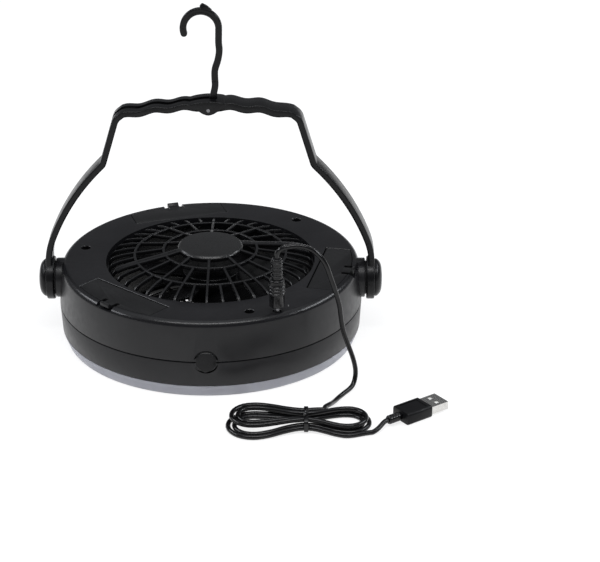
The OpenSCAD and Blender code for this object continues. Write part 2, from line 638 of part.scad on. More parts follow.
// Strap round the waist of the hank, with its two twisted ends on top
tie_y0 = -waist(3.5) - cord_d / 2 - 0.3;
tie_y1 = waist(0) + cord_d / 2 + 0.3;
tie_z0 = tie_t + 0.05;
tie_z1 = hank_z + layer_h + tie_t + cord_d / 2 + 0.15;
module cord_tie() color(black) translate([hank_c[0] - tie_w / 2, hank_c[1], 0]) {
  rotate([90, 0, 90]) linear_extrude(tie_w) difference() {
    translate([(tie_y0 + tie_y1) / 2, (tie_z0 + tie_z1) / 2])
      rrect(tie_y1 - tie_y0 + 2 * tie_t, tie_z1 - tie_z0 + 2 * tie_t, 2.2);
    translate([(tie_y0 + tie_y1) / 2, (tie_z0 + tie_z1) / 2])
      rrect(tie_y1 - tie_y0, tie_z1 - tie_z0, 1.4);
  }
  translate([tie_w / 2 - 0.8, -5, tie_z1 + tie_t - e]) cube([1.6, 6, 1.2]);
}
module at_usb() translate([usb_c[0], usb_c[1], usb_h / 2]) rotate([0, 0, usb_a]) children();
module usb_relief() color(black) at_usb() rotate([0, 90, 0])
  ringed(2.2, usb_relief_l, [1.4, 3.2, 5.0, 6.8], 0.35, 0);
module usb_plug() color(black) at_usb() translate([usb_relief_l, 0, 0]) rotate([90, 0, 90])
  linear_extrude(usb_l) rrect(usb_w, usb_h, 1.6);
module usb_shell() color(steel) at_usb() translate([usb_relief_l + usb_l, 0, 0]) difference() {
  translate([0, -6, -2.25]) cube([usb_shell_l, 12, 4.5]);
  translate([0.6, -5.6, -1.85]) cube([usb_shell_l, 11.2, 3.7]);
  for (y = [-2.8, 2.8], z = [-2.5, 1.6]) translate([5, y - 1.1, z]) cube([2.2, 2.2, 0.9]);
}
module usb_tongue() color("white") at_usb() translate([usb_relief_l + usb_l + 0.6, -5.2, 0.1])
  cube([usb_shell_l - 1.2, 10.4, 1.75]);

// ---- pivots and handle ----
module washer(s) color("dimgray") sides(s) along_x(boss_x) difference() {
  cylinder(r = 10, h = washer_t);
  translate([0, 0, -e]) cylinder(d = thread_d + 0.2, h = 5);
}
module washer_right() washer(1);
module washer_left() washer(-1);
module stud(s) color(steel) sides(s) {
  along_x(seam_r - 2.7) cylinder(d = thread_d, h = boss_x + washer_t - seam_r + 2.7 + e);
  along_x(boss_x + washer_t) cylinder(d = stud_d, h = cap_x - boss_x - washer_t + e);
  along_x(cap_x) cylinder(r = head_r, h = head_t);
}
module stud_right() stud(1);
module stud_left() stud(-1);
module knob(s) color(black) sides(s) along_x(cap_x) rotate_extrude() {
  r = knob_d / 2;
  polygon([[0, head_t + 0.1], [head_r + 0.1, head_t + 0.1], [head_r + 0.1, 0], [r, 0], [r, 0.8],
    [r - 0.6, knob_h * 0.44], [r - 2.2, knob_h * 0.74], [r - 5.2, knob_h * 0.93], [0, knob_h]]);
}
module knob_right() knob(1);
module knob_left() knob(-1);

// Centre line of the handle band, right half, from the end disc up to the grip
bend_z = pivot_z + 11.7;
bend_r = 41.5;
bend_a = 20.9;
bow_r = 132.5;
bow_a = 44.5;
bend_c = [arm_x - bend_r, bend_z];
bow_c = bend_c + (bend_r - bow_r) * [cos(bend_a), sin(bend_a)];
bow_end = bow_c + bow_r * [cos(bow_a), sin(bow_a)];
kink = bow_end + 3.3 * [-sin(bow_a), cos(bow_a)];
corner = [corner_x, corner_z];
function grip_z(x) = corner_z + 7.7 - 0.0022 * x * x - 0.7 * cos(360 * (abs(x) - 22) / 17);
grip_end = [corner_x - 4, grip_z(corner_x - 4)];
half_line = concat([[arm_x, pivot_z], [arm_x, pivot_z + 6], [arm_x, bend_z]],
  arc(bend_c, bend_r, 4, bend_a, 4), arc(bow_c, bow_r, bend_a + 3, bow_a - 0.5, 7),
  fil(bow_end, kink, corner, 5, 3), fil(kink, corner, grip_end, 7, 5));
grip_line = [for (i = [0:48]) let(x = grip_end[0] * (1 - i / 24)) [x, grip_z(x)]];
band = concat(half_line, grip_line, rev([for (q = half_line) [-q[0], q[1]]]));
pin_at = [pin_x, corner_z + 6];
channel = [for (i = [0:16]) let(x = -13 - i * 2) [x, grip_z(x)]];
// Raised top of the grip's right half, from the clevis out to the corner
pad_x0 = pin_x + 5;
pad_line = [for (i = [0:21]) let(x = pad_x0 + (corner_x - 5 - pad_x0) * i / 21) [x, grip_z(x)]];
pad_top = [for (q = pad_line) q + [0, band_t / 2 + grip_pad * blend((corner_x - 5 - q[0]) / 9)]];
boss_r = 5;    // cheeks round the hook's pin
module handle() color(black) difference() {
  union() {
    flat_xz(band_w) polygon(strip(band, band_t / 2, -band_t / 2));
    for (s = [1, -1]) sides(s) along_x(disc_x) cylinder(d = disc_d, h = disc_t);
    flat_xz(band_w) polygon(concat(pad_line, rev(pad_top)));
    flat_xz(band_w) intersection() {
      translate(pin_at + [0, boss_r - pin_d / 2 - 2]) circle(boss_r);
      translate(pin_at - [10, 10]) square([20, 14.5]);
    }
  }
  for (s = [1, -1]) sides(s) along_x(disc_x - 1) cylinder(d = stud_d + 2 * fit, h = disc_t + 2);
  translate([-14, -slot_w / 2, pin_at[1] - 10]) cube([pin_x + 5 + 14, slot_w, 30]);
  flat_xz(slot_w) polygon(strip(channel, 0.3, -6));
  flat_xz(slot_w) intersection() {
    difference() {
      translate(pin_at) circle(63);
      translate(pin_at) circle(42);
    }
    translate([-80, pin_at[1] - 24]) square([38, 40]);
  }
  translate([pin_at[0], 0, pin_at[1]]) rotate([90, 0, 0]) cylinder(d = pin_d + 2 * slip, h = 30, center = true);
}

// Hook: stem, curl and barb, drawn about its pin
curl_c = [-3, 189.5 - 142.5 + pin_at[1]];
stem = [[2.7, 3.1], [3.4, 7.1], [4.5, 12.5], [4.4, 18], [4.6, 22.5], [6.3, 28], [7.2, 33.5],
  [6.9, 38.5], [7, 43]];
stem_line = [for (q = stem) [q[0], q[1] + pin_at[1]]];
hook_line = concat(spline(stem_line, 3), arc(curl_c, curl_r, 0, 200, 20));
module hook() color(black) difference() {
  union() {
    flat_xz(hook_w) polygon(strip(hook_line, hook_t / 2, -hook_t / 2));
    flat_xz(hook_w) translate(pin_at) polygon([[-2.5, 0], [-1.6, 2], [-0.4, 3.1], [1.3, 7.1],
      [4.3, 7.1], [4.6, 3.1], [2.6, -0.3], [0, -1]]);
    flat_xz(hook_w) translate(curl_c) polygon([[6.5, 10.6], [3.5, 13.2], [0.9, 14.5], [-0.5, 13.2],
      [0.4, 11]]);
    translate([pin_at[0], 0, pin_at[1]]) rotate([90, 0, 0]) cylinder(r = pin_d / 2 + 1.6, h = hook_w, center = true);
  }
  translate([pin_at[0], 0, pin_at[1]]) rotate([90, 0, 0]) cylinder(r = pin_d / 2 + fit, h = 30, center = true);
  for (s = [1, -1]) translate([0, s * (hook_w / 2), 0]) flat_xz(0.8)
    polygon(strip([for (i = [5:len(hook_line) - 3]) hook_line[i]], 0.6, -0.6));
}
module hook_pin() color(steel) translate([pin_at[0], 0, pin_at[1]]) rotate([90, 0, 0])
  cylinder(d = pin_d, h = band_w + 0.3, center = true);

upper_housing();
lower_housing();
light_lens();
led_board();
leds();
intake_grille();
grille_cap();
outlet_grille();
motor_bracket();
motor_can();
motor_bush();
motor_shaft();
fan_rotor();
tray_right();
tray_rear();
tray_front();
contact_plates();
contact_springs();
door_right();
door_rear();
door_front();
power_button();
power_switch();
control_board();
dc_socket();
housing_screws();
washer_right();
washer_left();
stud_right();
stud_left();
knob_right();
knob_left();
handle();
hook();
hook_pin();
dc_barrel();
dc_plug();
dc_relief();
cord_lead();
cord_hank();
cord_tie();
cord_tail();
usb_relief();
usb_plug();
usb_shell();
usb_tongue();
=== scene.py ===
import math

import bmesh
import bpy
from mathutils import Matrix, Vector


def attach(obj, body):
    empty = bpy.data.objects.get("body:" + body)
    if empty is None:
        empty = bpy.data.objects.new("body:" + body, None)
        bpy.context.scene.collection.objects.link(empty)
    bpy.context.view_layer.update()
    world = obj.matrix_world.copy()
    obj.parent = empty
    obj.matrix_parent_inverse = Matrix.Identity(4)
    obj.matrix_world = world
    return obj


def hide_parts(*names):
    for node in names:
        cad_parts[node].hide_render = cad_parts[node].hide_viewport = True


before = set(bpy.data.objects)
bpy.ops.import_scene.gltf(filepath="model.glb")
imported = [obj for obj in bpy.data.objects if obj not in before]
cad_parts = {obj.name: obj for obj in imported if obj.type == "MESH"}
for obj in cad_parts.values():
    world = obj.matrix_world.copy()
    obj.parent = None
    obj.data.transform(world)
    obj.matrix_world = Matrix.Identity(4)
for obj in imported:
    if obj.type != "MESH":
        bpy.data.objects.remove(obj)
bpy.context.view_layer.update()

# A portable camping fan: a round black body with a domed grille over its rotor, three battery
# doors in the deck, a frosted ring light below, a swinging handle with a hook, and its lead.
# Sizes are written in millimetres and turned into metres where a mesh is made.
MM = 0.001

# The body: its radius at the seam and where the flat face ends, the rim's rounding, the depth of
# the seam's groove, its heights, and its opening with the duct and the ledge that bears the dome.
SEAM_R, FLAT_R, RIM, GROOVE = 89.9, 84.2, 4, 1.1
FACE_Z, SEAM_Z, LENS_H = 46.8, 22.85, 7.25
OPEN_R, DUCT_R, LEDGE_Z = 61.8, 60.2, 40.0

# Battery doors and screws: the angle of each, where a door's hinge is, and the screws' circle.
DOORS = {"right": -11.8, "rear": 108.2, "front": -131.8}
HINGE_R, HINGE_Z, DOOR_HALF = 65.7, 45.4, 28.85
SCREWS, SCREW_R = (-71.4, 48.6, 168.6), 77

# On the wall and the deck: the pivots' height and the handle's outer face there, x and z of the
# button, and x and y of the power plug, its foot and its length.
PIVOT_Z, ARM_FACE = 34.3, 97.3
BUTTON = (0.4, SEAM_Z)
PLUG, PLUG_Z, PLUG_LONG = (40.2, -71.9), 49.6, 16.9

# Handle and hook, in x and z: the strap and its corner, the clevis round the pin, the hook's bend.
BAND, BAND_WIDE, SLOT = 3.7, 15.0, 4.2
CORNER, GRIP_X = (52.8, 136.5), 48.8
PIN = (0.6, 142.5)
CHEEK = [(-11.5, 145.6), (-8, 146.7), (-4.5, 147.4), (-1, 147.8), (2.5, 147.8), (6, 147.6),
         (9.5, 147.0), (11, 145.4), (9.5, 143.4), (6.5, 142.0), (3.6, 140.2), (0.6, 139.4),
         (-2.4, 140.2), (-5.3, 142.0), (-8.6, 143.2)]
HOOK_THICK, HOOK_BEND, HOOK_R = 3.9, (-3, 189.5), 10.1


def mm(*values):
    return tuple(v * MM for v in values)


# ---- camera ----
def set_camera():
    """A long lens about 1.27 m from the deck, looking down at 24.85 degrees."""
    lens = bpy.data.cameras.new("camera")
    lens.sensor_width = 36
    lens.lens = 127.83
    lens.clip_start = 0.05
    camera = bpy.data.objects.new("camera", lens)
    camera.location = (0.05312, -1.1544, 0.56635)
    camera.rotation_euler = (math.radians(65.15), 0, 0)
    bpy.context.scene.collection.objects.link(camera)
    bpy.context.scene.camera = camera


# ---- the lead ----
FREE_LEAD = [(40.2, -71.9, 79), (40.25, -71.9, 81.3), (41.6, -71.9, 83.7), (44.2, -72, 85.3),
             (48, -72, 86.1), (53, -72, 86.4), (59, -72, 84.6), (64, -72.5, 80.6),
             (67.5, -73, 75.5), (70.5, -73.5, 67), (73, -74, 59.5), (75.3, -74, 51),
             (76.3, -74, 43), (77.6, -74, 35), (80.3, -74, 26.5), (83, -74, 18.5),
             (84.6, -74.2, 11.5), (84.6, -75.2, 6.5), (83.4, -77.6, 2.9), (81.2, -81, 1.6),
             (78, -86, 1.5), (75, -91, 1.5), (72.8, -96, 2), (71, -101, 3.2),
             (69.2, -106, 4.8), (67, -110.4, 5.7)]
TAIL = [(95.15, -129.58, 1.95), (96.54, -127.93, 2.4), (97.76, -126.2, 2.9),
        (98.99, -124.35, 3.4), (100.21, -122.75, 3.6), (101.5, -121.8, 3.6)]
CORD_D = 2.8

# The hank: its middle, the turns it starts and ends at, how far it reaches to each side, the gap
# between strands, the lobes' outer radius, the share of half a turn that is straight, the rise to
# its upper layer and over the tie, and the tie's width.
HANK_AT = (56.5, -120.5)
HANK_FROM, HANK_TO = -0.03, 3.687
HANK_LEFT, HANK_RIGHT = 29.4, 23.0
STRAND, LOBE, STRAIGHT = 3.6, 12.8, 0.29
LAYER, TIE_T, TIE_W = 3.4, 0.85, 2.4


def ease(s):
    """Goes gently from 0 to 1."""
    return 0 if s <= 0 else 1 if s >= 1 else (1 - math.cos(math.pi * s)) / 2


def coil_step(t):
    """How far in a strand lies: inwards over the lower turns, and back out over the upper ones."""
    return STRAND * (t if t < 1.5 else 3 - t)


def lobe(t):
    """Half the width of a turn at its lobes."""
    return LOBE - coil_step(t)


def waist(t):
    """Half the width of a turn at its waist."""
    return 0.8 + STRAND * 1.5 - coil_step(t)


def half_turn(t, h, reach):
    """A place in half a turn of the hank: out along the run, round its end, and back."""
    if h < STRAIGHT:
        k = h / STRAIGHT
        return reach * k, waist(t) + (lobe(t) - waist(t)) * ease(k)
    if h > 1 - STRAIGHT:
        k = (1 - h) / STRAIGHT
        return reach * k, -(waist(t) + (lobe(t) - waist(t)) * ease(k))
    f = math.pi * (h - STRAIGHT) / (1 - 2 * STRAIGHT)
    return reach + lobe(t) * math.sin(f), lobe(t) * math.cos(f)


def hank_point(t):
    """The cord's middle after t turns of the hank."""
    part = t - math.floor(t)
    if part < 0.5:
        x, y = half_turn(t, 2 * part, HANK_LEFT)
        x, y = -x, y + (2 if t < 1.5 else -3) * ease(x / HANK_LEFT)
    else:
        x, y = half_turn(t, 2 * part - 1, HANK_RIGHT)
        y = -y
    reach = HANK_LEFT if x < 0 else HANK_RIGHT
    lift = LAYER * (1 - ease((t - 1.36) / 0.28)) + TIE_T * (1 - ease(abs(x) / reach))
    return Vector((HANK_AT[0] + x, HANK_AT[1] + y, CORD_D / 2 + 0.1 + lift))


def smooth_line(points, steps):
    """A Catmull-Rom line through the points."""
    line = []
    last = len(points) - 1
    for i in range(last):
        a, b, c, d = (Vector(points[min(max(k, 0), last)]) for k in (i - 1, i, i + 1, i + 2))
        for k in range(steps):
            t = k / steps
            line.append(0.5 * (2 * b + (c - a) * t + (2 * a - 5 * b + 4 * c - d) * t * t
                               + (3 * b - a - 3 * c + d) * t ** 3))
    return line + [Vector(points[-1])]


def lead_route():
    """The whole cord's middle line: the free lead, the hank and the tail."""
    turns = [hank_point(HANK_FROM + (HANK_TO - HANK_FROM) * i / 90) for i in range(91)]
    first = (turns[0] - turns[1]).normalized()
    last = (turns[-1] - turns[-2]).normalized()
    route = [Vector(p) for p in FREE_LEAD]
    route += [turns[0] + (CORD_D + 3) * first, turns[0] + CORD_D * first] + turns
    route += [turns[-1] + CORD_D * last, turns[-1] + (CORD_D + 2) * last]
    route += [Vector(p) for p in TAIL]
    return smooth_line(route, 3)


def lay_cord():
    """The whole cord, from the power plug through the hank to the USB plug, as one curve."""
    route = lead_route()
    curve = bpy.data.curves.new("lead_cord", "CURVE")
    curve.dimensions = "3D"
    curve.bevel_depth = CORD_D / 2 * MM
    curve.bevel_resolution = 4
    curve.use_fill_caps = True
    line = curve.splines.new("POLY")
    line.points.add(len(route) - 1)
    for place, point in zip(route, line.points):
        point.co = (*mm(*place), 1)
    cord = bpy.data.objects.new("lead_cord", curve)
    bpy.context.scene.collection.objects.link(cord)
    length = sum((b - a).length for a, b in zip(route, route[1:])) * MM
    return cord, length


# ---- the ways a part is shaped ----
def clear():
    """Leaves nothing selected, in object mode."""
    if bpy.context.mode != "OBJECT":
        bpy.ops.object.mode_set(mode="OBJECT")
    bpy.ops.object.select_all(action="DESELECT")


def only(part):
    """Leaves one part selected and active, in object mode."""
    clear()
    part.select_set(True)
    bpy.context.view_layer.objects.active = part
    return part


def edit(part):
    """Opens the part for editing, with all of its corners selected."""
    only(part)
    bpy.ops.object.mode_set(mode="EDIT")
    bpy.ops.mesh.select_mode(type="VERT")
    bpy.ops.mesh.select_all(action="SELECT")


def settle(part):
    """Puts the part's place, turn and scale into its mesh."""
    only(part)
    bpy.ops.object.transform_apply(location=True, rotation=True, scale=True)
    return part


def pick_faces(part, above):
    """In edit mode, selects the faces whose middle lies above a height."""
    bpy.ops.mesh.select_all(action="DESELECT")
    bpy.ops.mesh.select_mode(type="FACE")
    mesh = bmesh.from_edit_mesh(part.data)
    for face in mesh.faces:
        if face.calc_center_median().z > above * MM:
            face.select_set(True)
    mesh.select_flush_mode()
    bmesh.update_edit_mesh(part.data)


def pull(x, y, z):
    """In edit mode, extrudes what is selected by a step."""
    bpy.ops.mesh.extrude_region_move(TRANSFORM_OT_translate={"value": mm(x, y, z)})


def finish_mesh(part):
    """In edit mode, turns every face outwards, and goes back to object mode."""
    bpy.ops.mesh.select_all(action="SELECT")
    bpy.ops.mesh.normals_make_consistent(inside=False)
    return only(part)


def draw(points, closed=False):
    """Draws a line by extruding one corner after another, and fills it if it is closed."""
    clear()
    bpy.ops.mesh.primitive_plane_add(size=0.1 * MM, location=mm(*points[0]))
    part = settle(bpy.context.object)
    edit(part)
    bpy.ops.mesh.merge(type="CENTER")
    for here, there in zip(points, points[1:]):
        step = mm(*(b - a for a, b in zip(here, there)))
        bpy.ops.mesh.extrude_vertices_move(TRANSFORM_OT_translate={"value": step})
    bpy.ops.mesh.select_all(action="SELECT")
    if closed:
        bpy.ops.mesh.edge_face_add()
    return part


def turn(profile, steps=128):
    """Spins a profile of (radius, height) points about the upright axis."""
    part = draw([(r, 0, z) for r, z in profile])
    bpy.ops.mesh.spin(steps=steps, angle=2 * math.pi, center=(0, 0, 0), axis=(0, 0, 1))
    bpy.ops.mesh.select_all(action="SELECT")
    bpy.ops.mesh.remove_doubles(threshold=0.01 * MM)
    return finish_mesh(part)


def press(outline, depth, side=(0, 1, 0)):
    """Fills an outline of 3-D points and pulls it out by the depth, half to each side."""
    shift = Vector(side) * depth
    part = draw([tuple(Vector(p) - shift / 2) for p in outline], closed=True)
    pull(*shift)
    return finish_mesh(part)


def block(low, high):
    """A box between two corners."""
    clear()
    middle = [(a + b) / 2 for a, b in zip(low, high)]
    bpy.ops.mesh.primitive_cube_add(size=1, location=mm(*middle))
    part = bpy.context.object
    part.scale = mm(*(b - a for a, b in zip(low, high)))
    return settle(part)


def rod(radius, low, high, sides, top=None):
    """A round bar, or a cone, between two points."""
    clear()
    low, high = Vector(low), Vector(high)
    way = high - low
    bpy.ops.mesh.primitive_cone_add(
        vertices=sides, radius1=radius * MM, radius2=(radius if top is None else top) * MM,
        depth=way.length * MM, location=mm(*((low + high) / 2)),
        rotation=way.to_track_quat("Z", "Y").to_euler())
    return settle(bpy.context.object)


def turned(part, degrees, axis="Z"):
    """Turns a part about an axis through the origin."""
    only(part)
    part.rotation_euler = Matrix.Rotation(math.radians(degrees), 3, axis).to_euler()
    return settle(part)


def moved(part, x, y, z):
    """Shifts a part."""
    part.location = mm(x, y, z)
    return settle(part)


def around(part, angles):
    """Copies of the part, turned about the upright axis and joined into one."""
    row = []
    for angle in angles:
        only(part)
        bpy.ops.object.duplicate(linked=False)
        row.append(turned(bpy.context.object, angle))
    bpy.data.objects.remove(part)
    return join(row)


def join(parts):
    """Makes one object of several, under the first."""
    clear()
    for part in parts:
        part.select_set(True)
    bpy.context.view_layer.objects.active = parts[0]
    if len(parts) > 1:
        bpy.ops.object.join()
    return bpy.context.object


def modify(part, kind, **settings):
    """Adds a modifier and applies it."""
    only(part)
    step = part.modifiers.new("step", kind)
    for name, value in settings.items():
        setattr(step, name, value)
    bpy.ops.object.modifier_apply(modifier=step.name)
    return part


def shave(part, width, segments, angle=35):
    """Rounds the edges that are sharper than the angle."""
    return modify(part, "BEVEL", width=width * MM, segments=segments, limit_method="ANGLE",
                  angle_limit=math.radians(angle), miter_outer="MITER_ARC")


def boolean(part, tool, way):
    """Cuts a tool out of a part, or welds it on, and uses it up."""
    modify(part, "BOOLEAN", operation=way, solver="EXACT", object=tool)
    bpy.data.objects.remove(tool)
    return part


def cut(part, tool):
    return boolean(part, tool, "DIFFERENCE")


def weld(part, tool):
    return boolean(part, tool, "UNION")


def spot(x, z, radius, degrees):
    """The point at an angle on a circle."""
    a = math.radians(degrees)
    return x + radius * math.cos(a), z + radius * math.sin(a)


def bow(x, z, radius, start, end, count):
    """Points on an arc, from one angle to another."""
    return [spot(x, z, radius, start + (end - start) * i / count) for i in range(count + 1)]


def rounded_box(low, high, radius):
    """An outline with round corners, between a low corner and a high one."""
    (x0, z0), (x1, z1) = [v + radius for v in low], [v - radius for v in high]
    return (bow(x1, z1, radius, 0, 90, 5) + bow(x0, z1, radius, 90, 180, 5)
            + bow(x0, z0, radius, 180, 270, 5) + bow(x1, z0, radius, 270, 360, 5))


def along(points, r):
    """Where a line of (radius, value) points is at a radius."""
    for (r0, v0), (r1, v1) in zip(points, points[1:]):
        if r <= r1:
            return v0 + (v1 - v0) * (r - r0) / (r1 - r0)
    return points[-1][1]


def fit(part, name, body, finish, stands_for=(), crease=32):
    """Names a finished part, smooths it, gives it its finish, puts it under its body and hides the
    nodes it stands for.
    """
    only(part)
    part.name = part.data.name = name
    bpy.ops.object.shade_smooth_by_angle(angle=math.radians(crease))
    part.data.materials.clear()
    part.data.materials.append(finish)
    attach(part, body)
    if stands_for:
        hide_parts(*stands_for)
    return part


# ---- finishes ----
def map_range(tree, value, *limits):
    """A node that maps one range of a value, given by its two limits, onto another."""
    node = tree.nodes.new("ShaderNodeMapRange")
    for socket, limit in zip(("From Min", "From Max", "To Min", "To Max"), limits):
        node.inputs[socket].default_value = limit
    tree.links.new(value, node.inputs["Value"])
    return node


class Finish:
    """A material drawn with nodes, on Object coordinates."""

    def __init__(self, name):
        self.material = bpy.data.materials.new(name)
        self.material.use_nodes = True
        self.nodes = self.material.node_tree.nodes
        self.links = self.material.node_tree.links
        self.shader = self.nodes["Principled BSDF"]
        self.place = self.nodes.new("ShaderNodeTexCoord").outputs["Object"]

    def noise(self, size, detail=3.0, stretch=None):
        """Noise whose grains are about this size, in mm."""
        source = self.place
        if stretch:
            mapping = self.nodes.new("ShaderNodeMapping")
            mapping.inputs["Scale"].default_value = stretch
            self.links.new(source, mapping.inputs["Vector"])
            source = mapping.outputs["Vector"]
        node = self.nodes.new("ShaderNodeTexNoise")
        node.inputs["Scale"].default_value = 1 / (size * MM)
        node.inputs["Detail"].default_value = detail
        self.links.new(source, node.inputs["Vector"])
        return node.outputs["Fac"]

    def spread(self, value, low, high, near=0.3, far=0.7):
        """Maps a value from near to far onto a range."""
        return map_range(self.material.node_tree, value, near, far, low, high).outputs["Result"]

    def blend(self, factor, one, two):
        """A colour between two, by a 0 to 1 value."""
        node = self.nodes.new("ShaderNodeMix")
        node.data_type = "RGBA"
        self.links.new(factor, node.inputs["Factor"])
        for socket, colour in (("A", one), ("B", two)):
            spot = [s for s in node.inputs if s.name == socket and s.type == "RGBA"][0]
            spot.default_value = (*colour, 1)
        return [s for s in node.outputs if s.type == "RGBA"][0]

    def bump(self, value, height, strength, under=None):
        """A relief of this height, in mm."""
        node = self.nodes.new("ShaderNodeBump")
        node.inputs["Distance"].default_value = height * MM
        node.inputs["Strength"].default_value = strength
        self.links.new(value, node.inputs["Height"])
        if under:
            self.links.new(under, node.inputs["Normal"])
        return node.outputs["Normal"]

    def use(self, **sockets):
        """Gives the shader its values, or the outputs that drive them."""
        names = {"colour": "Base Color", "rough": "Roughness", "normal": "Normal",
                 "metal": "Metallic", "specular": "Specular IOR Level",
                 "clear": "Transmission Weight", "ior": "IOR"}
        for key, value in sockets.items():
            socket = self.shader.inputs[names[key]]
            if isinstance(value, bpy.types.NodeSocket):
                self.links.new(value, socket)
            else:
                socket.default_value = value
        return self.material


FLOW, PATCH, GRAIN = 22, 3.5, 0.28


def moulded(name, dark, pale, rough, relief=0.012, specular=0.5, swirl=0.0):
    """Moulded plastic: spark-eroded grain, slow flow marks, and faint rubbed patches."""
    f = Finish(name)
    flow = f.noise(FLOW, 2)
    rubbed = f.noise(PATCH, 5)
    fine = f.noise(GRAIN, 2)
    colour = f.blend(f.spread(flow, 0.0, 1.0, 0.35, 0.65), dark, pale)
    roughness = f.spread(rubbed, rough - 0.05, rough + 0.05)
    normal = f.bump(fine, relief, 0.8)
    if swirl:
        normal = f.bump(flow, swirl, 0.5, under=normal)
    return f.use(colour=colour, rough=roughness, normal=normal, specular=specular)


def shell_black():
    """The housing's moulded black, faintly blue as a painted reflection: grained, with its top rim
    rubbed smooth.
    """
    f = Finish("deck_black")
    flow = f.spread(f.noise(FLOW, 2), 0.0, 1.0, 0.35, 0.65)
    # The faint blue in both colours is a painted reflection: it stands in for the bluish room seen
    # in the satin wall.
    colour = f.blend(flow, (0.0068, 0.0067, 0.0078), (0.0094, 0.0093, 0.0106))
    split = f.nodes.new("ShaderNodeSeparateXYZ")
    f.links.new(f.place, split.inputs[0])
    climb = f.spread(split.outputs["Z"], 0.0, 1.0, 43.0 * MM, 44.2 * MM)
    flatten = f.spread(split.outputs["Z"], 1.0, 0.0, 46.45 * MM, 46.78 * MM)
    rubbed = f.nodes.new("ShaderNodeMath")
    rubbed.operation = "MULTIPLY"
    f.links.new(climb, rubbed.inputs[0])
    f.links.new(flatten, rubbed.inputs[1])
    patches = f.spread(f.noise(PATCH, 5), 0.33, 0.42)
    rough = f.nodes.new("ShaderNodeMix")
    f.links.new(rubbed.outputs[0], rough.inputs[0])
    f.links.new(patches, rough.inputs[2])
    rough.inputs[3].default_value = 0.25
    normal = f.bump(f.noise(GRAIN, 2), 0.006, 0.6)
    return f.use(colour=colour, rough=rough.outputs[0], normal=normal, specular=0.34)


def polished(name, dark, pale, rough, specular):
    """Smooth moulded plastic with a gloss, dust specks and slight sink marks."""
    f = Finish(name)
    dust = f.spread(f.noise(0.9, 6), 0.0, 1.0, 0.66, 0.78)
    colour = f.blend(dust, dark, pale)
    roughness = f.spread(f.noise(5, 5), rough - 0.04, rough + 0.08)
    return f.use(colour=colour, rough=roughness, normal=f.bump(f.noise(9, 1), 0.05, 0.4),
                 specular=specular)


def metal(name, colour, pale, rough, lines=(1, 1, 6)):
    """Plated or turned metal with fine lines and slight clouding."""
    f = Finish(name)
    cloud = f.spread(f.noise(2.5, 4), 0.0, 1.0)
    grain = f.noise(0.25, 2, stretch=lines)
    roughness = f.spread(grain, rough - 0.06, rough + 0.08)
    return f.use(colour=f.blend(cloud, colour, pale), rough=roughness, metal=1.0,
                 normal=f.bump(grain, 0.006, 0.6))


def frosted():
    """Frosted ring of the light: milky, with the fine texture of its mould."""
    f = Finish("frosted_ring")
    cloud = f.spread(f.noise(14, 3), 0.0, 1.0)
    colour = f.blend(cloud, (0.57, 0.575, 0.635), (0.65, 0.655, 0.715))
    normal = f.bump(f.noise(0.35, 3), 0.02, 0.8)
    return f.use(colour=colour, rough=f.spread(f.noise(4, 4), 0.40, 0.52), normal=normal,
                 clear=0.35, ior=1.49)


def vinyl(name, dark, pale, rough, specular):
    """Soft cord jacket: slightly greasy sheen, fine orange peel, small dull smears."""
    f = Finish(name)
    smear = f.spread(f.noise(6, 4), 0.0, 1.0)
    normal = f.bump(f.noise(1.6, 2), 0.004, 0.5)
    return f.use(colour=f.blend(smear, dark, pale),
                 rough=f.spread(smear, rough, rough + 0.08, 0.0, 1.0), normal=normal,
                 specular=specular)


def board_green():
    """Lacquered circuit board with copper tracks showing through as paler lines."""
    f = Finish("board_green")
    wave = f.nodes.new("ShaderNodeTexWave")
    wave.inputs["Scale"].default_value = 160
    wave.inputs["Distortion"].default_value = 6
    f.links.new(f.place, wave.inputs["Vector"])
    tracks = f.spread(wave.outputs["Fac"], 0.0, 1.0, 0.6, 0.66)
    colour = f.blend(tracks, (0.012, 0.09, 0.035), (0.03, 0.17, 0.07))
    return f.use(colour=colour, rough=f.spread(f.noise(3), 0.25, 0.4),
                 normal=f.bump(tracks, 0.03, 0.6))


def phosphor():
    """Diode lens: pale yellow phosphor with fine grains."""
    f = Finish("diode_phosphor")
    grains = f.spread(f.noise(0.3, 2), 0.0, 1.0)
    return f.use(colour=f.blend(grains, (0.85, 0.70, 0.22), (0.90, 0.82, 0.45)),
                 rough=f.spread(grains, 0.2, 0.35), normal=f.bump(grains, 0.01, 0.5))


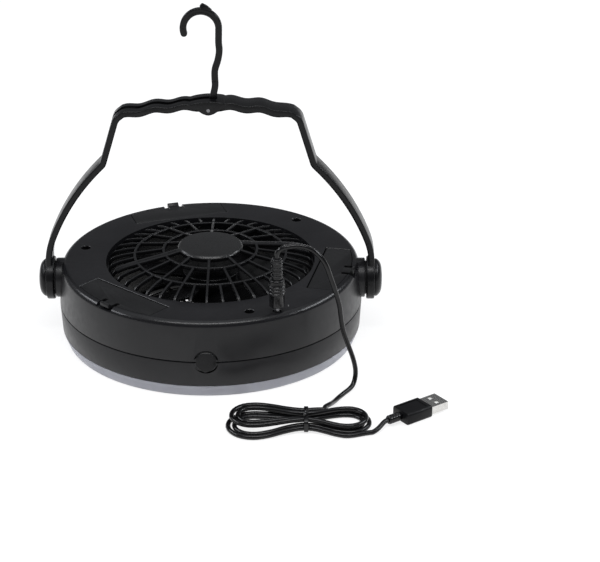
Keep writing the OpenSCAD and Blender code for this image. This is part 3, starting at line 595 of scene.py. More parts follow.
def finishes():
    """Every finish, by its short name. Most black parts go from deep to dusk."""
    deep = (0.0036, 0.0036, 0.0042)
    dusk = (0.0056, 0.0056, 0.0064)
    return {
        "deck": shell_black(),
        "grille": moulded("grille_black", deep, dusk, 0.30, relief=0.006, specular=0.36),
        "cap": moulded("cap_black", (0.0095, 0.0095, 0.0098), (0.0125, 0.0125, 0.0128), 0.30,
                       relief=0.006, specular=0.45),
        "door": moulded("door_black", (0.0070, 0.0070, 0.0074), (0.0096, 0.0096, 0.0102), 0.37,
                        specular=0.32),
        "handle": moulded("handle_black", deep, dusk, 0.30, relief=0.008, specular=0.24,
                          swirl=0.08),
        "blade": polished("blade_black", (0.0022, 0.0022, 0.0025), (0.006, 0.006, 0.007), 0.26,
                          specular=0.14),
        "tray": moulded("tray_black", deep, dusk, 0.5, specular=0.3),
        "knob": moulded("knob_black", deep, dusk, 0.30, relief=0.006, specular=0.22),
        "plug": moulded("plug_black", deep, dusk, 0.22, relief=0.002, specular=0.34),
        "usb": moulded("usb_black", deep, dusk, 0.40, relief=0.006, specular=0.18),
        "washer": moulded("washer_grey", (0.010, 0.010, 0.011), (0.016, 0.016, 0.017), 0.6,
                          specular=0.3),
        "cord": vinyl("cord_black", (0.0032, 0.0032, 0.0036), (0.0046, 0.0046, 0.0052), 0.14,
                      specular=0.34),
        "tie": vinyl("tie_black", (0.0040, 0.0040, 0.0045), (0.006, 0.006, 0.0065), 0.20,
                     specular=0.4),
        "pin": metal("pin_steel", (0.20, 0.20, 0.21), (0.28, 0.28, 0.29), 0.38),
        "ring": frosted(),
        "nickel": metal("nickel_plate", (0.62, 0.61, 0.59), (0.72, 0.71, 0.69), 0.22),
        "steel": metal("turned_steel", (0.50, 0.50, 0.51), (0.62, 0.62, 0.63), 0.30),
        "bronze": metal("sintered_bronze", (0.45, 0.28, 0.13), (0.55, 0.36, 0.18), 0.42,
                        lines=(1, 1, 1)),
        "board": board_green(),
        "mask": moulded("board_white", (0.70, 0.70, 0.68), (0.80, 0.80, 0.78), 0.45),
        "switch": moulded("switch_grey", (0.05, 0.05, 0.05), (0.08, 0.08, 0.08), 0.5),
        "insert": moulded("insert_white", (0.74, 0.74, 0.72), (0.84, 0.84, 0.82), 0.45),
        "mark": moulded("mark_grey", (0.22, 0.22, 0.22), (0.30, 0.30, 0.30), 0.5),
        "phosphor": phosphor(),
    }


# ---- body ----
def door_opening():
    """The tool that cuts one battery opening, flared at the deck for a small chamfer."""
    radius, half, inner = 84.15, 29.1, 64.05
    widest = math.degrees(math.asin(half / radius))
    outline = [(inner, -half), *bow(0, 0, radius, -widest, widest, 24), (inner, half)]
    part = draw([(x, y, 41.6) for x, y in outline], closed=True)
    pull(0, 0, 4.95)
    pull(0, 0, 0.3)
    bpy.ops.transform.resize(value=(1.025, 1.009, 1), center_override=mm(74.1, 0, 0))
    pull(0, 0, 2)
    return finish_mesh(part)


def round_hole(x, y, radius, low, flare):
    """A tool for an upright hole with a flared mouth in the deck."""
    shaft = rod(radius, (x, y, low), (x, y, FACE_Z - flare), 40)
    edit(shaft)
    pick_faces(shaft, FACE_Z - flare - 0.01)
    pull(0, 0, 2 * flare)
    wide = 1 + 2 * flare / radius
    bpy.ops.transform.resize(value=(wide, wide, 1), center_override=mm(x, y, FACE_Z))
    return only(shaft)


def button_bore():
    """The tool for the button's hole, with a flared mouth in the wall."""
    x, z = BUTTON
    bore = rod(7.0, (x, -80, z), (x, -89.55, z), 64)
    mouth = rod(7.0, (x, -89.6, z), (x, -90.2, z), 64, top=7.5)
    return bore, mouth


def upper_shell(finish):
    """The upper housing: its turned wall and deck, with the bosses, the openings and the holes."""
    profile = [(OPEN_R, 46.35), (OPEN_R + 0.13, 46.67), (OPEN_R + 0.45, FACE_Z)]
    profile += bow(FLAT_R, FACE_Z - RIM, RIM, 90, 0, 12)
    profile += [(SEAM_R, 23.4), (SEAM_R - 0.08, 23.22), (SEAM_R - 0.3, 23.14),
                (SEAM_R - GROOVE, 23.14), (SEAM_R - GROOVE, SEAM_Z), (87.9, SEAM_Z),
                (86.2, FACE_Z - RIM)] + bow(FLAT_R, FACE_Z - RIM, 2, 12, 90, 4)
    profile += [(63.4, 44.8), (63.4, 38.4), (OPEN_R, 38.4), (OPEN_R, SEAM_Z), (DUCT_R, SEAM_Z),
                (DUCT_R, LEDGE_Z), (OPEN_R, LEDGE_Z), (OPEN_R, 46.35)]
    shell = turn(profile)
    bosses = []
    for side in (1, -1):
        boss = rod(11.75, (side * 85, 0, PIVOT_Z), (side * 91.7, 0, PIVOT_Z), 72)
        shave(boss, 0.5, 3, 60)
        edit(boss)
        bpy.ops.mesh.bisect(plane_co=mm(0, 0, SEAM_Z + 0.02), plane_no=(0, 0, 1),
                            use_fill=True, clear_inner=True)
        bosses.append(only(boss))
    posts = around(rod(4.5, (SCREW_R, 0, SEAM_Z), (SCREW_R, 0, 45.8), 32), SCREWS)
    skirt = [block((62.4, y - 1.3, 43.6), (79.7, y + 1.3, 45.9)) for y in (29.8, -29.8)]
    skirts = around(join(skirt), DOORS.values())
    for piece in (join(bosses), posts, skirts):
        weld(shell, piece)
    cut(shell, around(door_opening(), DOORS.values()))
    notch = block((81.2, -6, 44.2), (96, 6, 60))
    cut(shell, around(shave(notch, 0.4, 2), DOORS.values()))
    holes = [round_hole(*spot(0, 0, SCREW_R, a), 2.8, 27.85, 0.3) for a in SCREWS]
    holes.append(round_hole(*PLUG, 2.6, 36.8, 0.35))
    cut(shell, join(holes))
    cut(shell, rod(3.42, (*PLUG, 30), (*PLUG, 44.8), 40))
    for tool in button_bore():
        cut(shell, tool)
    return fit(shell, "upper_shell", "body", finish, ["upper_housing"])


def lower_shell(finish):
    """The lower housing: its wall, the plate above the light and the duct."""
    profile = [(87.9, SEAM_Z), (SEAM_R - GROOVE, SEAM_Z), (SEAM_R - GROOVE, 22.58),
               (SEAM_R - 0.4, 22.58), (SEAM_R - 0.12, 22.46), (SEAM_R, 22.1),
               (89.02, LENS_H + 0.5), (88.85, LENS_H + 0.15), (88.5, LENS_H), (OPEN_R, LENS_H),
               (OPEN_R, 4.0), (DUCT_R, 4.0), (DUCT_R, SEAM_Z), (OPEN_R, SEAM_Z), (OPEN_R, 8.85),
               (87.0, 8.85), (87.9, SEAM_Z)]
    shell = turn(profile)
    for tool in button_bore():
        cut(shell, tool)
    return fit(shell, "lower_shell", "body", finish, ["lower_housing"])


def socket_tick(finish):
    """The small pale mark beside the power socket."""
    tick = [(46.3, -66.6), (46.8, -66.6), (46.8, -64.7), (46.3, -64.7)]
    mark = press([(x, y, FACE_Z) for x, y in tick], 0.12, side=(0, 0, 1))
    return fit(shave(mark, 0.03, 1, 50), "socket_tick", "body", finish)


def ring_lens(finish):
    profile = [(62.5, 0.5), (62.65, 0.15), (63.0, 0), (85.9, 0), (86.25, 0.12), (86.5, 0.5),
               (88.95, 6.9), (89.0, LENS_H), (87.2, LENS_H), (84.9, 1.8), (64.0, 1.8),
               (64.0, LENS_H), (62.5, LENS_H), (62.5, 0.5)]
    lens = turn(profile)
    return fit(lens, "ring_lens", "body", finish, ["light_lens"])


def battery_door(side, finish):
    """A door: deck plate with two slits, hinge barrel with stubs, and the latch with its lip."""
    edge, slit_end = 83.9, 80
    outline = [(HINGE_R, -DOOR_HALF)]
    for low, high, count in ((-DOOR_HALF, -6, 8), (-3.4, 3.4, 3), (6, DOOR_HALF, 8)):
        if low > -DOOR_HALF:
            outline.append((slit_end, low))
        outline += [(math.sqrt(edge ** 2 - v * v), v) for v in
                    (low + (high - low) * i / count for i in range(count + 1))]
        if high < DOOR_HALF:
            outline.append((slit_end, high))
    outline.append((HINGE_R, DOOR_HALF))
    plate = press([(x, y, 45.9) for x, y in outline], 1.8, side=(0, 0, 1))
    shave(plate, 0.28, 2, 50)
    tongue = [(79.8, 45.05), (86.2, 45.05), (86.7, 45.3), (86.9, 45.8), (86.9, 47.3),
              (86.6, 47.8), (86.1, 48.0), (85.3, 47.8), (84.5, 46.75), (79.8, 46.75)]
    latch = press([(x, 0, z) for x, z in tongue], 6.8)
    shave(latch, 0.22, 2, 40)
    barrel = rod(1.4, (HINGE_R, -DOOR_HALF, HINGE_Z), (HINGE_R, DOOR_HALF, HINGE_Z), 24)
    shave(barrel, 0.2, 2, 50)
    stubs = rod(0.9, (HINGE_R, -30.6, HINGE_Z), (HINGE_R, 30.6, HINGE_Z), 16)
    door = weld(plate, latch)
    door = join([door, barrel, stubs])
    turned(door, DOORS[side])
    return fit(door, f"{side}_battery_door", f"door_{side}_leaf", finish,
               [f"door_{side}"])


# ---- grilles ----
# The dome: how far it stands above the deck at each radius, its two rings, and its seat's radius.
INNER_RING, OUTER_RING, RIB_END, HUB_R = 27.7, 44.8, 58.3, 19.3
DOME = ((17, 8.3), (HUB_R, 8.2), (INNER_RING, 6.4), (OUTER_RING, 3.85), (52, 2.6),
        (RIB_END, 0.6))


def dome(r):
    """Height of the domed grille's top at a radius."""
    return FACE_Z + along(DOME, r)


def rib(start, end, width, count, round_by, foot=()):
    """One rib of the dome: its side drawn as an outline, pulled to its width and rounded."""
    top = [(r, dome(r)) for r in (start + (end - start) * i / count for i in range(count + 1))]
    under = [(r, z - 2.2) for r, z in reversed(top)]
    if foot:
        under = [*foot] + under[1:]
    bar = press([(r, 0, z) for r, z in top + under], width)
    return shave(bar, round_by, 2, 50)


def ring(radius, width, height, top):
    """A grille ring with a rounded top."""
    half, edge = width / 2, 0.45
    profile = [(radius - half, top - height), (radius - half, top - edge)]
    profile += bow(radius - half + edge, top - edge, edge, 180, 90, 3)[1:]
    profile += bow(radius + half - edge, top - edge, edge, 90, 0, 3)
    profile += [(radius + half, top - height), (radius - half, top - height)]
    return turn(profile, 96)


def domed_grille(finish):
    """The dome: 10 ribs inside, then 20 and 40, two rings, two wide spokes, rim and hub seat."""
    full = [9 * i + 270 for i in range(40)]
    inner = around(rib(16.8, INNER_RING, 1.9, 4, 0.5), full[::4])
    middle = around(rib(INNER_RING, OUTER_RING, 1.6, 5, 0.45), full[::2])
    foot = [(60.0, 45.6), (60.6, 44.4), (60.9, 42.0), (60.9, 40.4), (59.4, 40.4), (59.0, 43.2),
            (58.2, 44.2), (57.0, 45.1)]
    outer = around(rib(OUTER_RING, RIB_END, 1.5, 5, 0.42, foot), full)
    spokes = around(rib(16.8, 58.0, 5, 9, 0.6), (18, 198))
    rim = turn([(59.3, LEDGE_Z), (59.3, 42.2), (59.55, 42.6), (61.35, 42.6), (61.6, 42.2),
                (61.6, LEDGE_Z), (59.3, LEDGE_Z)])
    seat = turn([(0, 52.4), (18.9, 52.4), (HUB_R, 52.8), (HUB_R, 54.4), (0, 54.4)], 96)
    rings = [ring(r, 1.6, 2.3, dome(r) - 0.05) for r in (INNER_RING, OUTER_RING)]
    grille = join([inner, middle, outer, spokes, rim, seat, *rings])
    return fit(grille, "domed_grille", "body", finish, ["intake_grille"])


def hub_cap(finish):
    """The blank round cap at the middle of the dome."""
    profile = [(0, 54.4), (HUB_R, 54.4), (HUB_R, 54.6), (19.2, 54.8), (18.15, 55.82),
               (17.9, 55.95), (17.5, 56.0), (0, 56.0)]
    cap = turn(profile)
    return fit(cap, "hub_cap", "body", finish, ["grille_cap"], crease=20)


def outlet(finish):
    """The flat grille under the rotor."""
    rings = [turn([(r - 0.8, 2.3), (r - 0.5, 2), (r + 0.5, 2), (r + 0.8, 2.3), (r + 0.8, 3.7),
                   (r + 0.5, 4), (r - 0.5, 4), (r - 0.8, 3.7), (r - 0.8, 2.3)], 96)
             for r in (27, 34, 41, 48, 55)]
    hub = turn([(0, 2), (19.6, 2), (20, 2.4), (20, 4), (0, 4)], 96)
    edge = turn([(58.6, 2.3), (58.9, 2), (62.0, 2), (62.3, 2.3), (62.3, 4), (58.6, 4),
                 (58.6, 2.3)])
    spoke = shave(block((19, -0.9, 2), (59.2, 0.9, 4)), 0.35, 2)
    grille = join([*rings, hub, edge, around(spoke, range(0, 360, 30))])
    return fit(grille, "outlet_guard", "body", finish, ["outlet_grille"])


# ---- rotor ----
# A blade's two edges: how far each lies to the side of the blade's middle, at each radius.
FRONT_EDGE = ((15.4, 8), (22, 14), (30, 20), (38, 23.5), (48.3, 24), (55.3, 21), (60.2, 15))
BACK_EDGE = ((15.4, -9), (30.2, -14), (42, -18), (52, -19), (60.2, -17))
BLADE_ROOT, BLADE_TIP, BLADES = 16.2, 58.0, 5


def blade():
    """One cambered blade, bent from a flat sheet and thickened."""
    clear()
    bpy.ops.mesh.primitive_grid_add(x_subdivisions=14, y_subdivisions=12, size=2)
    sheet = bpy.context.object
    for vert in sheet.data.vertices:
        s, t = (vert.co.x + 1) / 2, (vert.co.y + 1) / 2
        r = BLADE_ROOT + (BLADE_TIP - BLADE_ROOT) * s
        v = along(BACK_EDGE, r) + (along(FRONT_EDGE, r) - along(BACK_EDGE, r)) * t
        corner = 2.2 * (max(0, s - 0.85) / 0.15) ** 2
        v -= corner * (1 if v > 0 else -1) * abs(2 * t - 1) ** 3
        z = 30.2 + 0.41 * (v - 2) + 1.6 * (1 - v * v / 400)
        vert.co = mm(math.sqrt(max(r * r - v * v, 40)), v, max(z, 22.95))
    modify(sheet, "SOLIDIFY", thickness=1.7 * MM, offset=0)
    edit(sheet)
    return shave(finish_mesh(sheet), 0.5, 3, 50)


def rotor(finish):
    hub = turn([(0, 40), (15.8, 40), (16.6, 39.7), (17, 39), (17, 24.2), (16.8, 24), (15.4, 24),
                (15.2, 24.2), (15.2, 38), (4, 38), (4, 28.9), (1.05, 28.9), (1.05, 38.2),
                (0, 38.2)], 96)
    blades = around(blade(), [360 / BLADES * i for i in range(BLADES)])
    return fit(join([hub, blades]), "rotor_with_blades", "rotor", finish,
               ["fan_rotor"], crease=40)


# ---- handle and hook ----
def grip(x):
    """Height of the grip's middle line, with its finger waves."""
    wave = math.radians(360 * (abs(x) - 22) / 17)
    return CORNER[1] + 7.7 - 0.0022 * x * x - 0.7 * math.cos(wave)


def rounded_corner(before, corner, after, radius, count):
    """Points on the arc that rounds a corner."""
    before, corner, after = Vector(before), Vector(corner), Vector(after)
    a, b = (before - corner).normalized(), (after - corner).normalized()
    half = math.acos(a.dot(b)) / 2
    centre = corner + (a + b).normalized() * radius / math.sin(half)
    first = corner + a * radius / math.tan(half) - centre
    final = corner + b * radius / math.tan(half) - centre
    start = math.degrees(math.atan2(first.y, first.x))
    sweep = math.degrees(math.atan2(final.y, final.x)) - start
    sweep = (sweep + 180) % 360 - 180
    return bow(centre.x, centre.y, radius, start, start + sweep, count)


def strap_line():
    """Middle line of the right half of the handle, from the end disc up to the grip."""
    arm_x, arm_top = ARM_FACE - BAND / 2, PIVOT_Z + 11.7
    bend_r, bend_a, bow_r, bow_a = 41.5, 20.9, 132.5, 44.5
    foot = (arm_x - bend_r, arm_top)
    centre = spot(*foot, bend_r - bow_r, bend_a)
    top = spot(*centre, bow_r, bow_a)
    kink = spot(*top, 3.3, bow_a + 90)
    line = [(arm_x, PIVOT_Z), (arm_x, PIVOT_Z + 6), (arm_x, arm_top)]
    line += bow(*foot, bend_r, 2, bend_a, 8) + bow(*centre, bow_r, bend_a + 1.5, bow_a - 0.5, 14)
    line += rounded_corner(top, kink, CORNER, 5, 5)
    line += rounded_corner(kink, CORNER, (GRIP_X, grip(GRIP_X)), 7, 7)
    return line


def beside(line, distance):
    """A line set off to its left."""
    out = []
    for i, p in enumerate(line):
        a, b = line[max(i - 1, 0)], line[min(i + 1, len(line) - 1)]
        way = Vector((b[0] - a[0], b[1] - a[1])).normalized()
        out.append((p[0] - distance * way.y, p[1] + distance * way.x))
    return out


def strip(line, one, other):
    """The outline of a strip between two distances from a line."""
    return beside(line, one) + beside(line, other)[::-1]


def flat(points, width):
    """A flat piece with an outline in x and z, as wide as this across the handle."""
    return press([(x, 0, z) for x, z in points], width)


def pin_rod(place, radius, reach, sides):
    """A bar across the handle, through a place in x and z."""
    x, z = place
    return rod(radius, (x, -reach, z), (x, reach, z), sides)


def grip_pad():
    """Raised top of the grip's right half, from the clevis out to the corner."""
    start, end = PIN[0] + 5, CORNER[0] - 5
    under = [(x, grip(x)) for x in (start + (end - start) * i / 42 for i in range(43))]
    over = [(x, z + BAND / 2 + 0.8 * ease((end - x) / 9)) for x, z in under]
    return shave(flat(over + under[::-1], BAND_WIDE - 0.12), 0.7, 3, 50)


def handle(finish):
    """The handle: strap, end discs, grip and clevis, with the hook's channel and slot."""
    half = strap_line()
    line = half + [(GRIP_X * (1 - i / 32), grip(GRIP_X * (1 - i / 32))) for i in range(65)]
    line += [(-x, z) for x, z in half[::-1]]
    band = shave(flat(strip(line, BAND / 2, -BAND / 2), BAND_WIDE), 0.8, 3, 50)
    discs = []
    for side in (1, -1):
        disc = rod(12.85, (side * 92.6, 0, PIVOT_Z), (side * ARM_FACE, 0, PIVOT_Z), 96)
        discs.append(shave(disc, 0.7, 3, 50))
    cheek = smooth_line([(x, z, 0) for x, z in CHEEK + CHEEK[:1]], 3)[:-1]
    boss = shave(flat([(p.x, p.y) for p in cheek], BAND_WIDE + 0.2), 0.6, 3, 50)
    for piece in (join(discs), grip_pad(), boss):
        weld(band, piece)
    cut(band, block((-14, -SLOT / 2, PIN[1] - 10), (PIN[0] + 5, SLOT / 2, PIN[1] + 20)))
    channel = [(-13 - i, grip(-13 - i)) for i in range(33)]
    cut(band, flat(strip(channel, 0.3, -6), SLOT))
    window = bow(*PIN, 63, 150, 202, 24) + bow(*PIN, 42, 202, 150, 24)
    cut(band, flat(window, SLOT))
    holes = [rod(4.05, (side * 91.6, 0, PIVOT_Z), (side * 98.6, 0, PIVOT_Z), 40)
             for side in (1, -1)]
    cut(band, join(holes))
    cut(band, pin_rod(PIN, 1.02, 10, 24))
    return fit(band, "carry_handle", "handle_arm", finish, ["handle"])


def hook_line():
    """Middle line of the hook: its wavy stem and the bend at its top."""
    stem = [(2.7, 3.1), (3.4, 7.1), (4.5, 12.5), (4.4, 18), (4.6, 22.5), (6.3, 28), (7.2, 33.5),
            (6.9, 38.5), (7, 43)]
    line = smooth_line([(x, z + PIN[1], 0) for x, z in stem], 4)
    return [(p.x, p.y) for p in line] + bow(*HOOK_BEND, HOOK_R, 3, 197, 36)


def hook(finish):
    """The hook: stem and bend, root and eye, the rounded tip, a small barb and two grooves."""
    line = hook_line()
    body = shave(flat(strip(line, HOOK_THICK / 2, -HOOK_THICK / 2), 3.3), 0.6, 3, 50)
    root = [(-2.5, 0), (-1.6, 2), (-0.4, 3.1), (1.3, 7.1), (4.3, 7.1), (4.6, 3.1), (2.6, -0.3),
            (0, -1)]
    root = flat([(x + PIN[0], z + PIN[1]) for x, z in root], 3.2)
    barb = [(6.5, 10.6), (3.5, 13.2), (0.9, 14.5), (-0.5, 13.2), (0.4, 11)]
    barb = flat([(x + HOOK_BEND[0], z + HOOK_BEND[1]) for x, z in barb], 3.22)
    tip = pin_rod(line[-1], HOOK_THICK / 2, 1.63, 32)
    eye = pin_rod(PIN, 2.6, 1.7, 40)
    for piece in (root, shave(barb, 0.35, 2, 30), shave(tip, 0.6, 3, 50),
                  shave(eye, 0.3, 2, 50)):
        weld(body, piece)
    cut(body, pin_rod(PIN, 1.05, 5, 24))
    groove = strip(line[10:-3], 0.6, -0.6)
    for side in (1, -1):
        channel = press([(x, side * 1.65, z) for x, z in groove], 0.8)
        cut(body, channel)
    return fit(body, "hanging_hook", "hook_arm", finish, ["hook"])


def knob(side, finish):
    """Domed cap over a pivot stud."""
    profile = [(0, 1.5), (6.6, 1.5), (6.6, 0), (10.9, 0), (11.2, 0.3), (11.2, 0.8), (11.05, 1.4),
               (10.6, 2.0), (9.9, 2.75), (9.0, 3.4), (7.6, 3.95), (6.0, 4.27), (4.0, 4.45),
               (2.0, 4.57), (0, 4.6)]
    cap = turned(turn(profile, 96), 90, "Y")
    moved(cap, ARM_FACE + 0.1, 0, PIVOT_Z)
    if side == "left":
        turned(cap, 180)
    return fit(cap, f"{side}_knob_cap", "body", finish, [f"knob_{side}"],
               crease=40)


# ---- button and plugs ----
def push_button(finish):
    """The power button: a round plunger with an eight-sided raised face."""
    x, z = BUTTON
    plunger = shave(rod(6.7, (x, -82.89, z), (x, -88.85, z), 64), 0.35, 3, 50)
    flange = rod(8.0, (x, -81.7, z), (x, -82.7, z), 64)
    neck = rod(4.7, (x, -82.3, z), (x, -83.2, z), 32)
    clear()
    bpy.ops.mesh.primitive_cylinder_add(vertices=8, radius=6.85 * MM, depth=0.9 * MM,
                                        rotation=(0, 0, math.radians(22.5)))
    face = settle(bpy.context.object)
    edit(face)
    pick_faces(face, 0.44)
    pull(0, 0, 1.25)
    bpy.ops.transform.resize(value=(0.86, 0.86, 1), center_override=(0, 0, 0))
    shave(face, 0.12, 2, 20)
    turned(face, 90, "X")
    moved(face, x, -88.15, z)
    button = join([plunger, flange, neck, face])
    return fit(button, "push_button", "button", finish, ["power_button"],
               crease=25)


def ribbed(radius, rings, rise, widest, lip=0.2):
    """Profile of a moulded sleeve with rounded raised rings, no wider than the widest."""
    profile = [(0, 0), (radius - lip, 0), (radius, lip)]
    for z in rings:
        profile += [(radius, z - 0.85), (radius + rise * 0.3, z - 0.72)]
        profile += bow(radius + rise * 0.4, z, 0.62, -70, 70, 6)
        profile += [(radius + rise * 0.3, z + 0.72), (radius, z + 0.85)]
    return [(min(r, widest), z) for r, z in profile]


def power_plug(finish):
    """The power plug's moulded body and the ribbed sleeve on top of it."""
    profile = ribbed(4.3, (8.3, 10.4, 12.4), 0.3, 4.72, lip=0.4)
    profile += [(4.3, 15.6), (4.15, 16.2), (3.7, 16.7), (3.1, PLUG_LONG), (0, PLUG_LONG)]
    body = moved(turn(profile, 64), *PLUG, PLUG_Z)
    fit(body, "power_plug_body", "body", finish, ["dc_plug"], crease=40)
    profile = ribbed(2.9, (1.9, 4.6, 6.8, 9.8), 0.5, 3.45)
    profile += [(2.9, 11.6), (2.7, 12.1), (2.1, 12.5), (0, 12.5)]
    relief = moved(turn(profile, 64), *PLUG, PLUG_Z + PLUG_LONG)
    fit(relief, "power_plug_relief", "body", finish, ["dc_relief"], crease=40)
    return body, relief


# The USB plug: where its cord enters, the way it points, and its height above the floor.
USB_AT, USB_TURN, USB_Z = TAIL[-1][:2], 36.3, TAIL[-1][2]


def lay_usb(part):
    """Puts a piece drawn along X in the USB plug's place."""
    turned(part, USB_TURN)
    return moved(part, *USB_AT, USB_Z)


def usb_end(finish, sleeve):
    """The USB plug's ribbed sleeve, and its body with a panel sunk in each flat side."""
    start = 9.0
    profile = ribbed(2.2, (1.4, 3.2, 5.0, 6.8), 0.35, 2.55) + [(2.2, start), (0, start)]
    relief = lay_usb(turned(turn(profile, 48), 90, "Y"))
    fit(relief, "usb_cord_sleeve", "body", sleeve, ["usb_relief"], crease=40)
    half_w, half_h = 7, 3.6
    outline = rounded_box((-half_w, -half_h), (half_w, half_h), 1.6)
    wide, high = half_w - 0.5, half_h - 0.5
    body = draw([(start, y * wide / half_w, z * high / half_h) for y, z in outline], closed=True)
    for step, inset in ((0.14, 0.16), (0.36, 0), (16.2, 0), (0.36, 0.16), (0.14, 0.5)):
        pull(step, 0, 0)
        was, wide, high = (wide, high), half_w - inset, half_h - inset
        bpy.ops.transform.resize(value=(1, wide / was[0], high / was[1]),
                                 center_override=(0, 0, 0))
    finish_mesh(body)
    for low in (half_h - 0.3, -half_h - 0.7):
        cut(body, block((11.5, -4.6, low), (23.7, 4.6, low + 1)))
    body = lay_usb(body)
    fit(body, "usb_plug_body", "body", finish, ["usb_plug"])
    return relief, body


def tie(finish):
    """The strap round the hank's waist, with its two ends twisted together on top."""
    low_y, high_y = -waist(3.5) - 1.7, waist(0) + 1.7
    low_z, high_z = 0.9, CORD_D / 2 + 0.1 + LAYER + TIE_T + CORD_D / 2 + 0.15
    loop = rounded_box((low_y, low_z), (high_y, high_z), 1.8)
    strap = draw([(-TIE_W / 2, y, z) for y, z in loop + loop[:1]])
    bpy.ops.mesh.remove_doubles(threshold=0.01 * MM)
    bpy.ops.mesh.select_all(action="SELECT")
    pull(TIE_W, 0, 0)
    finish_mesh(strap)
    modify(strap, "SOLIDIFY", thickness=0.8 * MM, offset=1)
    shave(strap, 0.25, 2, 50)
    twist = block((-2.8, -0.8, -0.55), (2.8, 0.8, 0.55))
    edit(twist)
    bpy.ops.mesh.subdivide(number_cuts=9)
    modify(twist, "SIMPLE_DEFORM", deform_method="TWIST", deform_axis="X",
           angle=math.radians(400))
    turned(twist, 74)
    moved(twist, 0, -2.0, high_z + 1.35)
    knot = join([strap, twist])
    moved(knot, *HANK_AT, 0)
    return fit(knot, "hank_tie", "body", finish, ["cord_tie"])


# ---- light, floor and the rest ----
def dress_nodes(f):
    """Finishes for the nodes that stay as they are."""
    looks = {
        "mask": ["led_board"], "phosphor": ["leds"], "bronze": ["motor_bush"],
        "steel": ["motor_can", "motor_shaft", "housing_screws", "stud_right", "stud_left"],
        "tray": ["motor_bracket", "tray_right", "tray_rear", "tray_front"],
        "nickel": ["contact_plates", "contact_springs", "usb_shell"],
        "switch": ["power_switch", "dc_socket"], "washer": ["washer_right", "washer_left"],
        "pin": ["hook_pin", "dc_barrel"], "board": ["control_board"],
        "insert": ["usb_tongue"],
    }
    for look, names in looks.items():
        for name in names:
            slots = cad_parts[name].data.materials
            slots.clear()
            slots.append(f[look])


def seen_white(tree):
    """1 for the rays of the camera, of mirrors and through glass, else 0."""
    path = tree.nodes.new("ShaderNodeLightPath")
    seen = path.outputs["Is Camera Ray"]
    for kind in ("Is Glossy Ray", "Is Transmission Ray"):
        either = tree.nodes.new("ShaderNodeMath")
        either.operation = "MAXIMUM"
        tree.links.new(seen, either.inputs[0])
        tree.links.new(path.outputs[kind], either.inputs[1])
        seen = either.outputs[0]
    return seen


def mixed(tree, factor, one, two):
    """A node that mixes the shaders of two nodes."""
    node = tree.nodes.new("ShaderNodeMixShader")
    for source, socket in zip((factor, one.outputs[0], two.outputs[0]), node.inputs):
        tree.links.new(source, socket)
    return node


def set_floor():
    """A plain pale floor that takes the shadow, and lets the underside be seen from below."""
    clear()
    bpy.ops.mesh.primitive_plane_add(size=8)
    floor = bpy.context.object
    floor.name = "floor"
    material = bpy.data.materials.new("floor_pale")
    material.use_nodes = True
    tree = material.node_tree
    tree.nodes.clear()
    out = tree.nodes.new("ShaderNodeOutputMaterial")
    matte = tree.nodes.new("ShaderNodeBsdfDiffuse")
    matte.inputs["Color"].default_value = (0.8, 0.8, 0.8, 1)
    thin = tree.nodes.new("ShaderNodeBsdfDiffuse")
    thin.inputs["Color"].default_value = (0.30, 0.30, 0.30, 1)
    glow = tree.nodes.new("ShaderNodeEmission")
    glow.inputs["Strength"].default_value = 0.78
    both = tree.nodes.new("ShaderNodeAddShader")
    tree.links.new(thin.outputs[0], both.inputs[0])
    tree.links.new(glow.outputs[0], both.inputs[1])
    seen = mixed(tree, seen_white(tree), matte, both)
    side = tree.nodes.new("ShaderNodeNewGeometry")
    nothing = tree.nodes.new("ShaderNodeBsdfTransparent")
    below = mixed(tree, side.outputs["Backfacing"], seen, nothing)
    tree.links.new(below.outputs[0], out.inputs["Surface"])
    floor.data.materials.append(material)


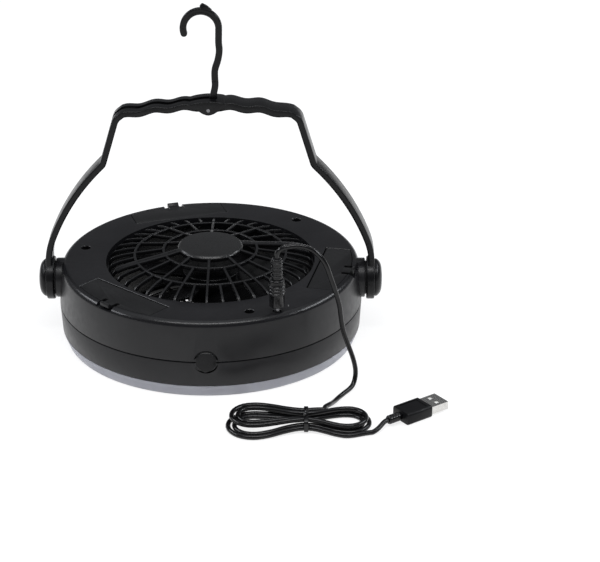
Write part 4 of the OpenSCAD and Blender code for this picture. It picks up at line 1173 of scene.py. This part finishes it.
def set_world():
    """A room that brightens towards its ceiling."""
    world = bpy.data.worlds.new("studio")
    bpy.context.scene.world = world
    world.use_nodes = True
    tree = world.node_tree
    tree.nodes.clear()
    out = tree.nodes.new("ShaderNodeOutputWorld")
    room = tree.nodes.new("ShaderNodeBackground")
    room.inputs["Color"].default_value = (0.94, 0.96, 1.0, 1)
    way = tree.nodes.new("ShaderNodeTexCoord")
    height = tree.nodes.new("ShaderNodeSeparateXYZ")
    tree.links.new(way.outputs["Generated"], height.inputs[0])
    rise = map_range(tree, height.outputs["Z"], 0.62, 1.0, 0.17, 1.0)
    rise.interpolation_type = "SMOOTHSTEP"
    tree.links.new(rise.outputs["Result"], room.inputs["Strength"])
    tree.links.new(room.outputs[0], out.inputs["Surface"])


def set_lamp(name, place, length, power, colour):
    """A strip of light, in metres and watts, aimed at the fan."""
    lamp = bpy.data.lights.new(name, "AREA")
    lamp.shape = "RECTANGLE"
    lamp.size, lamp.size_y = length, 0.22
    lamp.energy = power
    lamp.color = colour
    thing = bpy.data.objects.new(name, lamp)
    thing.location = place
    way = Vector((0, 0, 0.04)) - Vector(place)
    thing.rotation_euler = way.to_track_quat("-Z", "Y").to_euler()
    bpy.context.scene.collection.objects.link(thing)


def set_lights():
    """Three strips in an arc over the fan, from its left to its right."""
    set_lamp("top_strip", (0.0, -0.70, 1.55), 1.5, 11, (1, 1, 1))
    set_lamp("left_strip", (-1.3, 0.15, 0.95), 1.3, 9, (0.93, 0.95, 1.0))
    set_lamp("right_strip", (1.3, 0.15, 0.95), 1.3, 10, (0.93, 0.96, 1.0))


def main():
    set_camera()
    f = finishes()
    cord, length = lay_cord()
    cord.data.materials.append(f["cord"])
    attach(cord, "body")
    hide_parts("cord_lead", "cord_hank", "cord_tail")

    upper_shell(f["deck"])
    lower_shell(f["deck"])
    ring_lens(f["ring"])
    socket_tick(f["mark"])
    for side in DOORS:
        battery_door(side, f["door"])
    domed_grille(f["grille"])
    hub_cap(f["cap"])
    outlet(f["grille"])
    rotor(f["blade"])
    handle(f["handle"])
    hook(f["handle"])
    for side in ("right", "left"):
        knob(side, f["knob"])
    push_button(f["knob"])
    plug_body, plug_relief = power_plug(f["plug"])
    usb_sleeve, usb_body = usb_end(f["usb"], f["plug"])
    tie(f["tie"])
    dress_nodes(f)
    set_floor()
    set_world()
    set_lights()
    bpy.context.scene.view_settings.view_transform = "Standard"


main()
clear()
